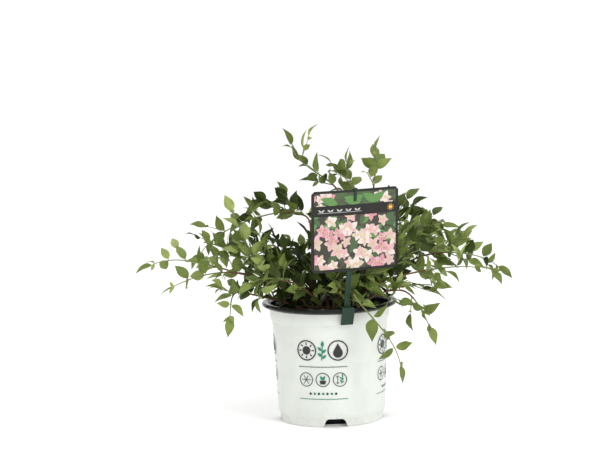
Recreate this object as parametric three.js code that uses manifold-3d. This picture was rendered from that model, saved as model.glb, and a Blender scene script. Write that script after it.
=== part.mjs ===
// A potted deutzia: a low shrub of arching stems with opposite leaves, in a white nursery pot
// with a black rolled lip, and a picture tag on a holder that clips over the lip.
// Millimetres, +Z up. The origin is the centre of the pot's flat underside, and -Y is the front.
import * as THREE from "three";
import { mergeVertices } from "three/addons/utils/BufferGeometryUtils.js";
import Module from "manifold-3d";

const wasm = await Module();
wasm.setup();

// Driving dimensions

const GAP = 0.3; // clearance between two pieces that touch on the real plant

const POT = {
  height: 196, // to the top of the lip
  wall: 1.6,
  floor: 2.5,
  footRadius: 85,
  footHeight: 11,
  shoulderRadius: 87.5,
  shoulderHeight: 18,
  waistRadius: 95.2,
  waistHeight: 166.5,
  collarRadius: 96.8,
  collarHeight: 168.5,
  mouthRadius: 99.4,
  seatHeight: 186, // where the lip sits on the wall
  sides: 32,
};

const LIP = { radius: 111, innerRadius: 96.6, sideHeight: 192.4, skirtRadius: 101.5 };

const NOTCH = { count: 4, azimuth: 273.9, bottom: 41, top: 27, height: 13.6, inner: 72 };

const SOIL = { height: 172, edgeDrop: 4, crownRadius: 62 };

// The tag's holder: a clip over the lip, and an upright with a tongue that grips the card.
const CLIP = { azimuth: 285.4, radius: 104, width: 20.5, thick: 1.6, flapBottom: 169, legBottom: 176 };

const UPRIGHT = {
  yaw: 20, // degrees that it faces to the right of the front
  forward: 6,
  lean: 3.5,
  length: 192,
  flange: 9,
  web: 5,
  tongue: 4.5,
  tongueDrop: 21,
};

const CARD = { width: 147, height: 132, thick: 1, corner: 5, turn: 4.2 };

// The leaves stand in opposite pairs, each pair a quarter turn round from the last.
const LEAF = {
  length: 43,
  halfWidth: 0.26, // these five are shares of the length
  widest: 0.4,
  ridge: 0.03,
  cup: 0.03,
  droop: 0.1,
  rootHeight: 0.7,
  sink: 0.1,
  angle: 54, // degrees from the twig it stands on, give or take the spread
  spread: 16,
  lift: 0.3, // how far it turns up to the light, give or take the sway
  sway: 0.22,
  roll: 1.1, // radians that its blade may turn either way
  tries: 7, // each next try at a place is smaller by this share
  shrink: 0.055,
};

const STEM = { sides: 6, steps: 6, flare: 1.5 };

// The three-sided stems of the masses and the straight twigs on them.
const TWIG = {
  stemRadius: 1.9,
  radius: 0.95,
  tipShare: 0.85, // of the radius, at a tip
  hold: 0.25, // share of a mass's stem that keeps in line with its limb
  capShare: 0.78, // of the radius, that a stem's cut end reaches back past its middle
  pitch: 28, // between joints along a stem
  twigPitch: 24,
  angle: 46,
  lift: 0.2,
  shares: [1, 0.75, 0.55], // of its length, that a twig is tried at
};

const CLEAR = 0.7; // room kept between the spaces of two masses

// Stems, each one tapering limb from the soil to where its foliage starts.
// foot: azimuth and distance from the pot's axis. to: azimuth, reach and height of its tip.
// leave and arrive are its slopes in degrees, and radius is that of its two ends.
const STEMS = {
  left_low: { foot: [232, 34], to: [195.5, 149, 217], leave: 34, arrive: 12, radius: [2.6, 1.6] },
  left: { foot: [185, 26], to: [191, 132, 242], leave: 60, arrive: 14, radius: [2.7, 1.6] },
  left_inner: { foot: [195, 8], to: [205, 62, 244], leave: 76, arrive: 48, radius: [2.4, 1.6] },
  left_back: { foot: [150, 20], to: [127, 47, 316], leave: 74, arrive: 84, radius: [2.9, 1.7] },
  centre: { foot: [60, 12], to: [45, 29, 362], leave: 82, arrive: 84, radius: [2.8, 1.6] },
  right_back: { foot: [22, 22], to: [13, 77, 360], leave: 68, arrive: 84, radius: [2.7, 1.6] },
  right_upper: { foot: [2, 16], to: [4, 86, 276], leave: 72, arrive: 46, radius: [2.6, 1.6] },
  right: { foot: [342, 26], to: [352, 146, 264], leave: 58, arrive: 22, radius: [2.7, 1.6] },
  right_front: { foot: [322, 24], to: [337, 128, 240], leave: 56, arrive: 14, radius: [2.5, 1.6] },
  right_low: { foot: [312, 46], to: [333, 130, 217], leave: 48, arrive: -4, radius: [2.2, 1.4] },
  front: { foot: [292, 16], to: [292, 107, 217], leave: 66, arrive: -34, radius: [2.2, 1.4] },
  front_left: { foot: [262, 38], to: [236, 94, 234], leave: 58, arrive: 22, radius: [2.5, 1.6] },
  back: { foot: [95, 24], to: [94, 98, 262], leave: 66, arrive: 24, radius: [2.7, 1.6] },
  back_left: { foot: [140, 34], to: [146, 108, 246], leave: 62, arrive: 20, radius: [2.6, 1.6] },
  back_right: { foot: [48, 32], to: [42, 104, 252], leave: 62, arrive: 22, radius: [2.6, 1.6] },
};

// Masses of foliage, each grown from one stem of its own.
// on and at: the limb that carries it and how far along, where 1 is that limb's tip.
// to: azimuth, reach and height of its tip. slopes: those it leaves and arrives at, in degrees; one that
// carries on from a limb's tip leaves in line with it, so only its last slope is given.
// twigs: how many at each joint, the share of the way that bears them, and the longest.
const MASSES = {
  left_far_upper: { on: "left", at: 1, to: [187.2, 286, 266], slopes: [-22], twigs: [2, 0.4, 44] },
  left_far_lower: { on: "left", at: 0.8, to: [199.4, 264, 236], slopes: [22, -22], twigs: [2, 0.4, 44] },
  left_hanging: { on: "left_low", at: 1, to: [211, 186, 186], slopes: [-74], twigs: [1, 0.5, 34] },
  left_riser: { on: "left_low", at: 0.56, to: [203, 164, 350], slopes: [66, 70], twigs: [2, 0.6, 46] },
  left_arch: { on: "left_back", at: 1, to: [167.5, 216, 272], slopes: [-58], twigs: [1, 1, 40] },
  left_inner_upper: { on: "left_inner", at: 1, to: [183, 138, 288], slopes: [8], twigs: [2, 1, 46] },
  left_inner_front: { on: "left_inner", at: 0.7, to: [224, 112, 270], slopes: [36, 24], twigs: [2, 1, 44] },
  left_core: { on: "left_inner", at: 0.52, to: [236, 48, 290], slopes: [62, 70], twigs: [2, 1, 40] },
  left_inner_back: { on: "left_back", at: 0.42, to: [162, 138, 276], slopes: [36, 0], twigs: [2, 1, 46] },
  front_left: { on: "front_left", at: 1, to: [228, 180, 246], slopes: [-20], twigs: [2, 1, 46] },
  centre_low: { on: "front_left", at: 0.5, to: [322, 112, 246], slopes: [42, -4], twigs: [2, 1, 46] },
  base_centre: { on: "front", at: 0.32, to: [292, 58, 262], slopes: [72, 70], twigs: [2, 1, 38] },
  top_left: { on: "centre", at: 1, to: [190, 56, 450], slopes: [76], twigs: [1, 1, 32] },
  top_middle: { on: "right_back", at: 0.94, to: [70, 32, 416], slopes: [34, 42], twigs: [1, 1, 32] },
  top_right: { on: "right_back", at: 1, to: [7, 83, 432], slopes: [88], twigs: [1, 1, 32] },
  right_crown: { on: "right_upper", at: 1, to: [10, 132, 354], slopes: [44], twigs: [2, 1, 46] },
  right_shoulder: { on: "right_upper", at: 0.8, to: [357, 184, 316], slopes: [30, -4], twigs: [2, 1, 48] },
  right_upper: { on: "right", at: 0.8, to: [8, 200, 300], slopes: [40, 2], twigs: [2, 0.5, 44] },
  right_far: { on: "right", at: 1, to: [350.6, 276, 252], slopes: [-38], twigs: [2, 0.45, 42] },
  right_far_lower: { on: "right_front", at: 1, to: [342, 248, 254], slopes: [-6], twigs: [2, 0.45, 44] },
  right_inner: { on: "right_front", at: 0.68, to: [337, 150, 288], slopes: [62, 40], twigs: [2, 1, 44] },
  right_low: { on: "right_low", at: 0.8, to: [346, 172, 222], slopes: [20, -6], twigs: [2, 1, 40] },
  right_hanging: { on: "right_low", at: 1, to: [329.5, 184, 164], slopes: [-62], twigs: [1, 1, 32] },
  front_hanging: { on: "front", at: 1, to: [308, 178, 112], slopes: [-80], twigs: [0, 0, 34] },
  back: { on: "back", at: 1, to: [88, 240, 262], slopes: [-20], twigs: [2, 0.7, 52] },
  back_low: { on: "back", at: 0.66, to: [116, 198, 212], slopes: [18, -50], twigs: [1, 1, 44] },
  back_left: { on: "back_left", at: 1, to: [146, 242, 248], slopes: [-24], twigs: [2, 0.7, 50] },
  back_right: { on: "back_right", at: 1, to: [40, 244, 258], slopes: [-22], twigs: [2, 0.7, 52] },
  back_right_low: { on: "back_right", at: 0.7, to: [64, 202, 212], slopes: [18, -52], twigs: [1, 1, 44] },
  right_back_low: { on: "back_right", at: 0.45, to: [16, 200, 232], slopes: [22, -34], twigs: [1, 1, 44] },
  centre_back: { on: "centre", at: 0.58, to: [84, 104, 332], slopes: [48, 34], twigs: [2, 1, 48] },
};

// Small helpers

const RAD = Math.PI / 180;
const UP = new THREE.Vector3(0, 0, 1);

function polar(azimuth, reach, height) {
  const a = azimuth * RAD;
  return new THREE.Vector3(reach * Math.cos(a), reach * Math.sin(a), height);
}

// A repeatable stream of numbers from 0 to 1.
function seeded(seed) {
  let state = Math.imul(seed + 1, 2654435761) >>> 0;
  return () => {
    state = (Math.imul(state, 1664525) + 1013904223) >>> 0;
    return state / 4294967296;
  };
}

function between(random, low, high) {
  return low + (high - low) * random();
}

function slope(heading, degrees) {
  const flat = new THREE.Vector3(heading.x, heading.y, 0).normalize();
  return flat.multiplyScalar(Math.cos(degrees * RAD)).addScaledVector(UP, Math.sin(degrees * RAD));
}

// The curve of a limb: it leaves its start at one slope and reaches its tip at another.
function limbCurve(start, tip, leave, arrive) {
  const heading = tip.clone().sub(start);
  const pull = heading.length() / 3;
  return new THREE.CubicBezierCurve3(
    start,
    start.clone().addScaledVector(slope(heading, leave), pull),
    tip.clone().addScaledVector(slope(heading, arrive), -pull),
    tip,
  );
}

// Shares of a curve's length at even steps, and midway between those steps with both ends.
function evenly(steps) {
  return Array.from({ length: steps + 1 }, (_, i) => i / steps);
}

function midway(steps) {
  return [0, ...Array.from({ length: steps }, (_, i) => (i + 0.5) / steps), 1];
}

// Points, tangents and two cross directions along a curve, carried along it without a twist.
function stations(curve, shares) {
  const found = [];
  let side = null;
  for (const t of shares) {
    const point = curve.getPoint(t);
    const tangent = curve.getTangent(t);
    if (!side) side = Math.abs(tangent.z) < 0.99 ? UP.clone() : new THREE.Vector3(0, 1, 0);
    side = side.clone().addScaledVector(tangent, -side.dot(tangent)).normalize();
    found.push({ t, point, tangent, side, cross: tangent.clone().cross(side) });
  }
  return found;
}

function meshData(points, faces) {
  const geometry = new THREE.BufferGeometry();
  const numbers = points.flatMap((p) => [p.x, p.y, p.z]);
  geometry.setAttribute("position", new THREE.Float32BufferAttribute(numbers, 3));
  geometry.setIndex(faces.flat());
  return geometry;
}

// A closed tube through the stations, with its radius at each.
function tube(line, sides, radiusAt, groundHeight) {
  const points = [];
  const faces = [];
  line.forEach((s, i) => {
    for (let k = 0; k < sides; k++) {
      const turn = (2 * Math.PI * k) / sides;
      const rim = s.side.clone().multiplyScalar(Math.cos(turn)).addScaledVector(s.cross, Math.sin(turn));
      const p = s.point.clone().addScaledVector(rim, radiusAt(s.t));
      if (i === 0 && groundHeight !== undefined) {
        p.addScaledVector(s.tangent, (groundHeight - p.z) / s.tangent.z);
      }
      points.push(p);
    }
  });
  for (let i = 0; i + 1 < line.length; i++) {
    for (let k = 0; k < sides; k++) {
      const [a, b] = [i * sides + k, i * sides + ((k + 1) % sides)];
      faces.push([a, b, b + sides], [a, b + sides, a + sides]);
    }
  }
  const last = (line.length - 1) * sides;
  for (let k = 1; k + 1 < sides; k++) {
    faces.push([0, k + 1, k], [last, last + k, last + k + 1]);
  }
  return meshData(points, faces);
}

// A closed geometry as a solid, and a solid as a geometry.
function solid(geometry) {
  const bare = new THREE.BufferGeometry().setAttribute("position", geometry.getAttribute("position"));
  bare.setIndex(geometry.getIndex());
  const merged = mergeVertices(bare, 1e-4);
  return new wasm.Manifold(
    new wasm.Mesh({
      numProp: 3,
      vertProperties: new Float32Array(merged.attributes.position.array),
      triVerts: new Uint32Array(merged.index.array),
    }),
  );
}

function geometryOf(shape) {
  const data = shape.getMesh();
  const geometry = new THREE.BufferGeometry();
  geometry.setAttribute("position", new THREE.BufferAttribute(new Float32Array(data.vertProperties), 3));
  geometry.setIndex(new THREE.BufferAttribute(new Uint32Array(data.triVerts), 1));
  geometry.computeVertexNormals();
  return geometry;
}

function fuse(geometries) {
  return geometries.map(solid).reduce((all, one) => all.add(one));
}

// A body of revolution about Z from [radius, height] pairs.
function turned(profile) {
  const points = profile.map(([r, z]) => new THREE.Vector2(r, z));
  return new THREE.LatheGeometry(points, POT.sides).rotateX(Math.PI / 2);
}

// Materials

const FINISH = {
  pot_white: { color: 0xe9ebe8, roughness: 0.45 },
  lip_black: { color: 0x161716, roughness: 0.35 },
  potting_mix: { color: 0x2c211a, roughness: 1 },
  holder_green: { color: 0x1f3d2c, roughness: 0.5 },
  card_print: { color: 0x8b7f78, roughness: 0.4 },
  bark: { color: 0x6e4630, roughness: 0.85 },
  foliage: { color: 0x4c7a2c, roughness: 0.6 },
};

function piece(name, geometry, finish) {
  const material = new THREE.MeshStandardMaterial({ ...FINISH[finish], metalness: 0 });
  const mesh = new THREE.Mesh(geometry, material);
  mesh.name = name;
  return mesh;
}

// The pot

// Radius of the outside of the wall at a height.
const WALL_LINE = [
  [POT.footRadius, 0],
  [POT.footRadius, POT.footHeight],
  [POT.shoulderRadius, POT.shoulderHeight],
  [POT.waistRadius, POT.waistHeight],
  [POT.collarRadius, POT.collarHeight],
  [POT.mouthRadius, POT.seatHeight],
];

function potWall() {
  const inside = WALL_LINE.slice(1).map(([r, z]) => [r - POT.wall, z]).reverse();
  const profile = [[0, 0], ...WALL_LINE, ...inside, [POT.footRadius - POT.wall, POT.floor], [0, POT.floor]];
  let wall = solid(turned(profile));
  const outline = new THREE.Shape([
    new THREE.Vector2(-NOTCH.bottom / 2, -1),
    new THREE.Vector2(NOTCH.bottom / 2, -1),
    new THREE.Vector2(NOTCH.top / 2, NOTCH.height),
    new THREE.Vector2(-NOTCH.top / 2, NOTCH.height),
  ]);
  for (let k = 0; k < NOTCH.count; k++) {
    const azimuth = (NOTCH.azimuth + (360 * k) / NOTCH.count) * RAD;
    const cutter = new THREE.ExtrudeGeometry(outline, { depth: 30, bevelEnabled: false })
      .rotateX(Math.PI / 2)
      .translate(0, 30 + NOTCH.inner, 0)
      .rotateZ(azimuth - Math.PI / 2);
    wall = wall.subtract(solid(cutter));
  }
  return geometryOf(wall);
}

function potLip() {
  const [inner, outer] = [LIP.innerRadius, LIP.radius];
  return turned([
    [inner, POT.seatHeight + GAP],
    [LIP.skirtRadius, POT.seatHeight + GAP],
    [outer - 2, LIP.sideHeight - 2.6],
    [outer, LIP.sideHeight],
    [outer - 1.6, POT.height - 1],
    [outer - 5, POT.height],
    [inner + 4, POT.height - 0.4],
    [inner, POT.height - 2.6],
    [inner, POT.seatHeight + GAP],
  ]);
}

function soil() {
  const side = WALL_LINE.slice(1, 5).map(([r, z]) => [r - POT.wall - GAP, z]);
  const top = SOIL.height - SOIL.edgeDrop;
  side.pop();
  const edge = POT.waistRadius - POT.wall - GAP;
  return turned([
    [0, POT.floor + GAP],
    [POT.footRadius - POT.wall - GAP, POT.floor + GAP],
    ...side,
    [edge, top],
    [SOIL.crownRadius, SOIL.height],
    [0, SOIL.height],
  ]);
}

// The tag and its holder

// Directions of the upright: across it, up it, and out of its front face.
function uprightAxes() {
  const [yaw, forward, lean] = [UPRIGHT.yaw, UPRIGHT.forward, UPRIGHT.lean].map((d) => d * RAD);
  const face = new THREE.Vector3(Math.sin(yaw), -Math.cos(yaw), 0);
  const level = new THREE.Vector3(Math.cos(yaw), Math.sin(yaw), 0);
  const rise = UP.clone().multiplyScalar(Math.cos(forward)).addScaledVector(face, Math.sin(forward));
  const up = rise.clone().multiplyScalar(Math.cos(lean)).addScaledVector(level, Math.sin(lean));
  const across = level.clone().multiplyScalar(Math.cos(lean)).addScaledVector(rise, -Math.sin(lean));
  return { across, up, front: across.clone().cross(up) };
}

const UPRIGHT_FOOT = polar(CLIP.azimuth, CLIP.radius, POT.height + GAP + CLIP.thick);
const UPRIGHT_AXES = uprightAxes();
const UPRIGHT_FRAME = new THREE.Matrix4()
  .makeBasis(UPRIGHT_AXES.across, UPRIGHT_AXES.up, UPRIGHT_AXES.front)
  .setPosition(UPRIGHT_FOOT);

function block(width, height, depth, x, y, z) {
  return new THREE.BoxGeometry(width, height, depth).translate(x, y, z);
}

// The clip's side view: x is the distance out from the lip's middle and y the height over the lip.
function clipGeometry() {
  const { thick } = CLIP;
  const [outer, inner] = [LIP.radius - CLIP.radius + GAP, LIP.innerRadius - CLIP.radius - 2.4];
  const [flap, leg] = [CLIP.flapBottom - POT.height, CLIP.legBottom - POT.height];
  const outline = new THREE.Shape(
    [
      [inner - thick, GAP + thick],
      [inner - thick, leg],
      [inner, leg],
      [inner, GAP],
      [outer, GAP],
      [outer, -5.5],
      [-3.4, flap],
      [-3.4 + thick, flap],
      [outer + thick, -6],
      [outer + thick, GAP + thick],
    ].map(([x, y]) => new THREE.Vector2(x, y)),
  );
  return new THREE.ExtrudeGeometry(outline, { depth: CLIP.width, bevelEnabled: false })
    .translate(0, 0, -CLIP.width / 2)
    .rotateX(Math.PI / 2)
    .translate(CLIP.radius, 0, POT.height)
    .rotateZ(CLIP.azimuth * RAD);
}

function tagHolder() {
  const { length, flange, web, tongue, tongueDrop } = UPRIGHT;
  const thick = CLIP.thick;
  const cardRoom = CARD.thick + 2 * GAP;
  const [foot, over] = [-1.2, thick + cardRoom];
  const parts = [
    block(flange, length - foot, thick, 0, (length + foot) / 2, -thick / 2),
    block(thick, length - 12 - foot, web, 0, (length - 12 + foot) / 2, -thick / 2 - web / 2),
    block(tongue, 2, over + thick, 0, length + 1, (over - thick) / 2),
    block(tongue, tongueDrop, thick, 0, length + 2 - tongueDrop / 2, cardRoom + thick / 2),
  ].map((geometry) => geometry.applyMatrix4(UPRIGHT_FRAME));
  return geometryOf(fuse([clipGeometry(), ...parts]));
}

function tagCard() {
  const [w, h, r] = [CARD.width / 2, CARD.height, CARD.corner];
  const outline = new THREE.Shape();
  outline.moveTo(-w + r, -h);
  outline.lineTo(w - r, -h);
  outline.absarc(w - r, -h + r, r, -Math.PI / 2, 0);
  outline.lineTo(w, -r);
  outline.absarc(w - r, -r, r, 0, Math.PI / 2);
  outline.lineTo(-w + r, 0);
  outline.absarc(-w + r, -r, r, Math.PI / 2, Math.PI);
  outline.lineTo(-w, -h + r);
  outline.absarc(-w + r, -h + r, r, Math.PI, 1.5 * Math.PI);
  return new THREE.ExtrudeGeometry(outline, { depth: CARD.thick, bevelEnabled: false, curveSegments: 3 });
}

function placeTag(holder, card) {
  const tag = new THREE.Group();
  tag.applyMatrix4(UPRIGHT_FRAME);
  card.position.set(0, UPRIGHT.length - GAP, GAP);
  card.rotation.z = CARD.turn * RAD;
  tag.add(card);
  const both = new THREE.Group();
  both.add(holder, tag);
  return both;
}

// The stems

const limbs = new Map();

function growStem(name, row) {
  const ground = SOIL.height + GAP;
  const start = polar(row.foot[0], row.foot[1], ground);
  const curve = limbCurve(start, polar(...row.to), row.leave, row.arrive);
  const [thick, thin] = row.radius;
  const radiusAt = (t) => thick + (thin - thick) * t + STEM.flare * Math.exp(-t * 14);
  const line = stations(curve, evenly(STEM.steps));
  limbs.set(name, { curve, line, radiusAt });
  return tube(line, STEM.sides, radiusAt, ground);
}

// The point on the way away from a joint that lies this far from its limb's middle line.
function stepOut(joint, away, line, distance) {
  const p = joint.clone().addScaledVector(away, distance);
  while (distanceTo(p, line) < distance) p.addScaledVector(away, 0.05);
  return p;
}

// Where a mass's own stem starts: just past its limb's tip, or clear of the limb's side.
function foliageCurve(row) {
  const limb = limbs.get(row.on);
  const joint = limb.curve.getPoint(row.at);
  const tangent = limb.curve.getTangent(row.at);
  const tip = polar(...row.to);
  if (row.at === 1) {
    const start = joint.addScaledVector(tangent, GAP);
    const curve = limbCurve(start, tip, 0, row.slopes[0]);
    curve.v1.copy(start).addScaledVector(tangent, tip.distanceTo(start) * TWIG.hold);
    return curve;
  }
  const [leave, arrive] = row.slopes;
  const away = slope(tip.clone().sub(joint), leave);
  const cap = TWIG.stemRadius * TWIG.capShare * Math.abs(away.dot(tangent));
  const start = stepOut(joint, away, limb.line, limb.radiusAt(row.at) + GAP + cap);
  return limbCurve(start, tip, leave, arrive);
}

// The spaces that the masses keep to

const STEPS_OF_SPACE = 14;

function distanceTo(point, line) {
  let best = Infinity;
  for (let i = 0; i + 1 < line.length; i++) {
    const [a, b] = [line[i].point, line[i + 1].point];
    const [dx, dy, dz] = [b.x - a.x, b.y - a.y, b.z - a.z];
    const [px, py, pz] = [point.x - a.x, point.y - a.y, point.z - a.z];
    const along = (px * dx + py * dy + pz * dz) / (dx * dx + dy * dy + dz * dz);
    const t = Math.max(0, Math.min(1, along));
    best = Math.min(best, Math.hypot(px - t * dx, py - t * dy, pz - t * dz));
  }
  return best;
}

function nearPot(p) {
  const r = Math.hypot(p.x, p.y);
  if (p.z > POT.height + 2) return false;
  if (r > LIP.radius + 2) return false;
  return r > LIP.innerRadius - 5 || p.z < SOIL.height + 2;
}

// Nothing grows through the tag or in front of it.
const UPRIGHT_INVERSE = UPRIGHT_FRAME.clone().invert();
const TAG_SPACE = {
  half: CARD.width / 2 + 6,
  low: UPRIGHT.length - CARD.height - 16,
  behind: 5,
  upright: 8,
};

function nearTag(p) {
  const q = p.clone().applyMatrix4(UPRIGHT_INVERSE);
  if (q.y < -4 || q.y > UPRIGHT.length + 8) return false;
  if (Math.abs(q.x) < TAG_SPACE.upright && q.z > -9) return true;
  return q.y > TAG_SPACE.low && Math.abs(q.x) < TAG_SPACE.half && q.z > -TAG_SPACE.behind;
}

// True if a point lies in the space of this mass: nearest to its own stem, and clear of all the rest.
function inSpace(point, mass, masses) {
  const own = distanceTo(point, mass.line);
  if (own > mass.longest * 0.9 + LEAF.length) return false;
  if (nearPot(point) || nearTag(point)) return false;
  for (const other of masses) {
    if (other !== mass && distanceTo(point, other.line) < own + CLEAR) return false;
  }
  for (const limb of limbs.values()) {
    if (distanceTo(point, limb.line) < 4.2) return false;
  }
  return true;
}

// Leaves and twigs

function turnedSide(s, turn) {
  return s.side.clone().multiplyScalar(Math.cos(turn)).addScaledVector(s.cross, Math.sin(turn));
}

// The upper side of a leaf that points along: it looks up and away from its twig's foot, rolled a little.
function upperSide(s, along, random) {
  const up = s.tangent.clone().multiplyScalar(0.7).addScaledVector(UP, 0.5);
  up.addScaledVector(along, -up.dot(along)).normalize();
  return up.applyAxisAngle(along, between(random, -LEAF.roll, LEAF.roll));
}

// A leaf's place on a twig: its root, the way it points and its upper side.
function leafOn(s, turn, length, random) {
  const angle = (LEAF.angle + between(random, -LEAF.spread, LEAF.spread)) * RAD;
  const lift = LEAF.lift + between(random, -LEAF.sway, LEAF.sway);
  const along = s.tangent.clone().multiplyScalar(Math.cos(angle));
  along.addScaledVector(turnedSide(s, turn), Math.sin(angle)).addScaledVector(UP, lift).normalize();
  const up = upperSide(s, along, random);
  return { root: s.point, along, up, length: length * between(random, 0.86, 1.1) };
}

// The leaf that ends a twig, in line with it.
function endLeaf(s, length, random) {
  return { root: s.point, along: s.tangent, up: upperSide(s, s.tangent, random), length };
}

function leafPoints({ root, along, up, length }) {
  const across = along.clone().cross(up);
  const at = (a, s, u) =>
    root.clone().addScaledVector(along, a).addScaledVector(across, s).addScaledVector(up, u);
  const [half, widest, cup] = [LEAF.halfWidth * length, LEAF.widest * length, LEAF.cup * length];
  return [
    at(-LEAF.sink, 0, LEAF.rootHeight / 2),
    at(-LEAF.sink, 0, -LEAF.rootHeight / 2),
    at(widest, -half, cup - LEAF.ridge * length),
    at(widest, half, cup - LEAF.ridge * length),
    at(widest * 1.06, 0, cup),
    at(length, 0, -LEAF.droop * length),
  ];
}

function leafGeometry(leaf) {
  const [rootTop, rootUnder, left, right, ridge, tip] = [0, 1, 2, 3, 4, 5];
  return meshData(leaf.points, [
    [rootTop, right, ridge],
    [rootTop, ridge, left],
    [ridge, right, tip],
    [ridge, tip, left],
    [rootUnder, left, right],
    [left, tip, right],
    [rootTop, left, rootUnder],
    [rootTop, rootUnder, right],
  ]);
}

// Whether the line from a to b goes through the triangle of p, q and r.
function pierces(a, b, p, q, r) {
  const ray = b.clone().sub(a);
  const [one, two] = [q.clone().sub(p), r.clone().sub(p)];
  const side = ray.clone().cross(two);
  const scale = one.dot(side);
  if (Math.abs(scale) < 1e-9) return false;
  const from = a.clone().sub(p);
  const u = from.dot(side) / scale;
  const turned = from.cross(one);
  const v = ray.dot(turned) / scale;
  const t = two.dot(turned) / scale;
  return u >= 0 && v >= 0 && u + v <= 1 && t >= 0 && t <= 1;
}

function blades([root, , left, right, , tip]) {
  return [
    [root, left, right],
    [left, tip, right],
  ];
}

function edges([root, , left, right, , tip]) {
  return [
    [root, left],
    [left, tip],
    [tip, right],
    [right, root],
  ];
}

function crossing(one, two) {
  if (one[4].distanceTo(two[4]) > LEAF.length * 1.3) return false;
  const through = (a, b) => edges(a).some((edge) => blades(b).some((blade) => pierces(...edge, ...blade)));
  return through(one, two) || through(two, one);
}

function crossesTwig(points, line) {
  const both = blades(points);
  return line.slice(1).some((s, i) => both.some((blade) => pierces(line[i].point, s.point, ...blade)));
}

// Joints of a stem or twig, with the turn of the pair of leaves at each.
function jointsOf(curve, pitch, random) {
  const count = Math.max(2, Math.round(curve.getLength() / pitch));
  const first = between(random, 0, Math.PI);
  return stations(curve, evenly(count)).map((s, n) => {
    return { s, n, last: n === count, share: n / count, turn: first + (n * Math.PI) / 2 };
  });
}

// The way a side twig points from its joint.
function twigHeading(joint, turn, random) {
  const angle = (TWIG.angle + between(random, -9, 9)) * RAD;
  const out = joint.s.tangent.clone().multiplyScalar(Math.cos(angle));
  out.addScaledVector(turnedSide(joint.s, turn), Math.sin(angle)).addScaledVector(UP, TWIG.lift);
  return out.normalize();
}

// The straight side twigs of a mass. One that would leave its space is tried shorter and then skipped.
function growTwigs(mass, masses) {
  const random = seeded(mass.seed);
  for (const joint of mass.joints.slice(1, -1).filter(({ share }) => share <= mass.until)) {
    for (let k = 0; k < mass.twigCount; k++) {
      const turn = joint.turn + Math.PI * (k + 0.5 + (joint.n % 2)) + between(random, -0.4, 0.4);
      const out = twigHeading(joint, turn, random);
      const length = mass.longest * (1.15 - 0.6 * joint.share) * between(random, 0.8, 1);
      const choices = TWIG.shares.map((share) => {
        const end = joint.s.point.clone().addScaledVector(out, length * share);
        const curve = new THREE.LineCurve3(joint.s.point, end);
        return { curve, line: stations(curve, evenly(3)) };
      });
      const inside = (twig) => twig.line.slice(1).every((s) => inSpace(s.point, mass, masses));
      const twig = choices.find(inside);
      if (twig) mass.twigs.push(twig);
    }
  }
}

// The leaves of a mass: a pair at each joint and one at each tip. A leaf that would leave the space,
// or cross a twig or another leaf, is tried at a few other turns and then skipped.
function growLeaves(mass, masses) {
  const shoots = [{ curve: mass.curve, line: mass.line, joints: mass.joints }, ...mass.twigs];
  const keep = (leaf, own) => {
    const points = leafPoints(leaf);
    const free =
      points.slice(2).every((p) => inSpace(p, mass, masses)) &&
      mass.leaves.every((other) => !crossing(points, other.points)) &&
      shoots.every((shoot) => shoot === own || !crossesTwig(points, shoot.line));
    if (free) mass.leaves.push({ points });
    return free;
  };
  shoots.forEach((shoot, i) => {
    const random = seeded(mass.seed * 50 + i);
    const joints = shoot.joints ?? jointsOf(shoot.curve, TWIG.twigPitch, random);
    for (const joint of joints.slice(1)) {
      const size = LEAF.length * (1.06 - 0.2 * joint.share);
      if (joint.last) keep(endLeaf(joint.s, size, random), shoot);
      for (const half of joint.last ? [] : [0, Math.PI]) {
        const choices = Array.from({ length: LEAF.tries }, (_, k) => {
          const turn = joint.turn + half + between(random, -0.2, 0.2) * k;
          return leafOn(joint.s, turn, size * (1 - LEAF.shrink * k), random);
        });
        choices.some((leaf) => keep(leaf, shoot));
      }
    }
  });
}

function foliage(mass) {
  const taper = (radius) => (t) => radius * (1 - (1 - TWIG.tipShare) * t);
  return fuse([
    tube(stations(mass.curve, midway(mass.joints.length - 1)), 3, taper(TWIG.stemRadius)),
    ...mass.twigs.map(({ curve }) => tube(stations(curve, [0, 1]), 3, taper(TWIG.radius))),
    ...mass.leaves.map(leafGeometry),
  ]);
}

// Assembly

const plant = new THREE.Group();
plant.name = "potted_deutzia";
plant.add(piece("pot_wall", potWall(), "pot_white"));
plant.add(piece("pot_lip", potLip(), "lip_black"));
plant.add(piece("soil", soil(), "potting_mix"));
plant.add(
  placeTag(piece("tag_holder", tagHolder(), "holder_green"), piece("tag_card", tagCard(), "card_print")),
);
for (const [name, row] of Object.entries(STEMS)) {
  plant.add(piece(`stem_${name}`, growStem(name, row), "bark"));
}
const masses = Object.entries(MASSES).map(([name, row], i) => {
  const curve = foliageCurve(row);
  const [twigCount, until, longest] = row.twigs;
  const line = stations(curve, evenly(STEPS_OF_SPACE));
  const joints = jointsOf(curve, TWIG.pitch, seeded(i));
  return { name, seed: 40 + i, curve, line, joints, twigCount, until, longest, twigs: [], leaves: [] };
});
for (const mass of masses) {
  growTwigs(mass, masses);
  growLeaves(mass, masses);
  plant.add(piece(`foliage_${mass.name}`, geometryOf(foliage(mass)), "foliage"));
}

export default plant;
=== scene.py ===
# The looks of a potted deutzia: arching leafy stems in a white nursery pot with a black rolled lip,
# and a picture tag on a holder that clips over the lip. The plant grows by the same rule as its
# solids, carried to finer twigs. Sizes are in millimetres until they become a mesh, then in metres.
import math

import bpy
import numpy as np
from mathutils import Euler, Matrix, Vector, noise


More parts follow.
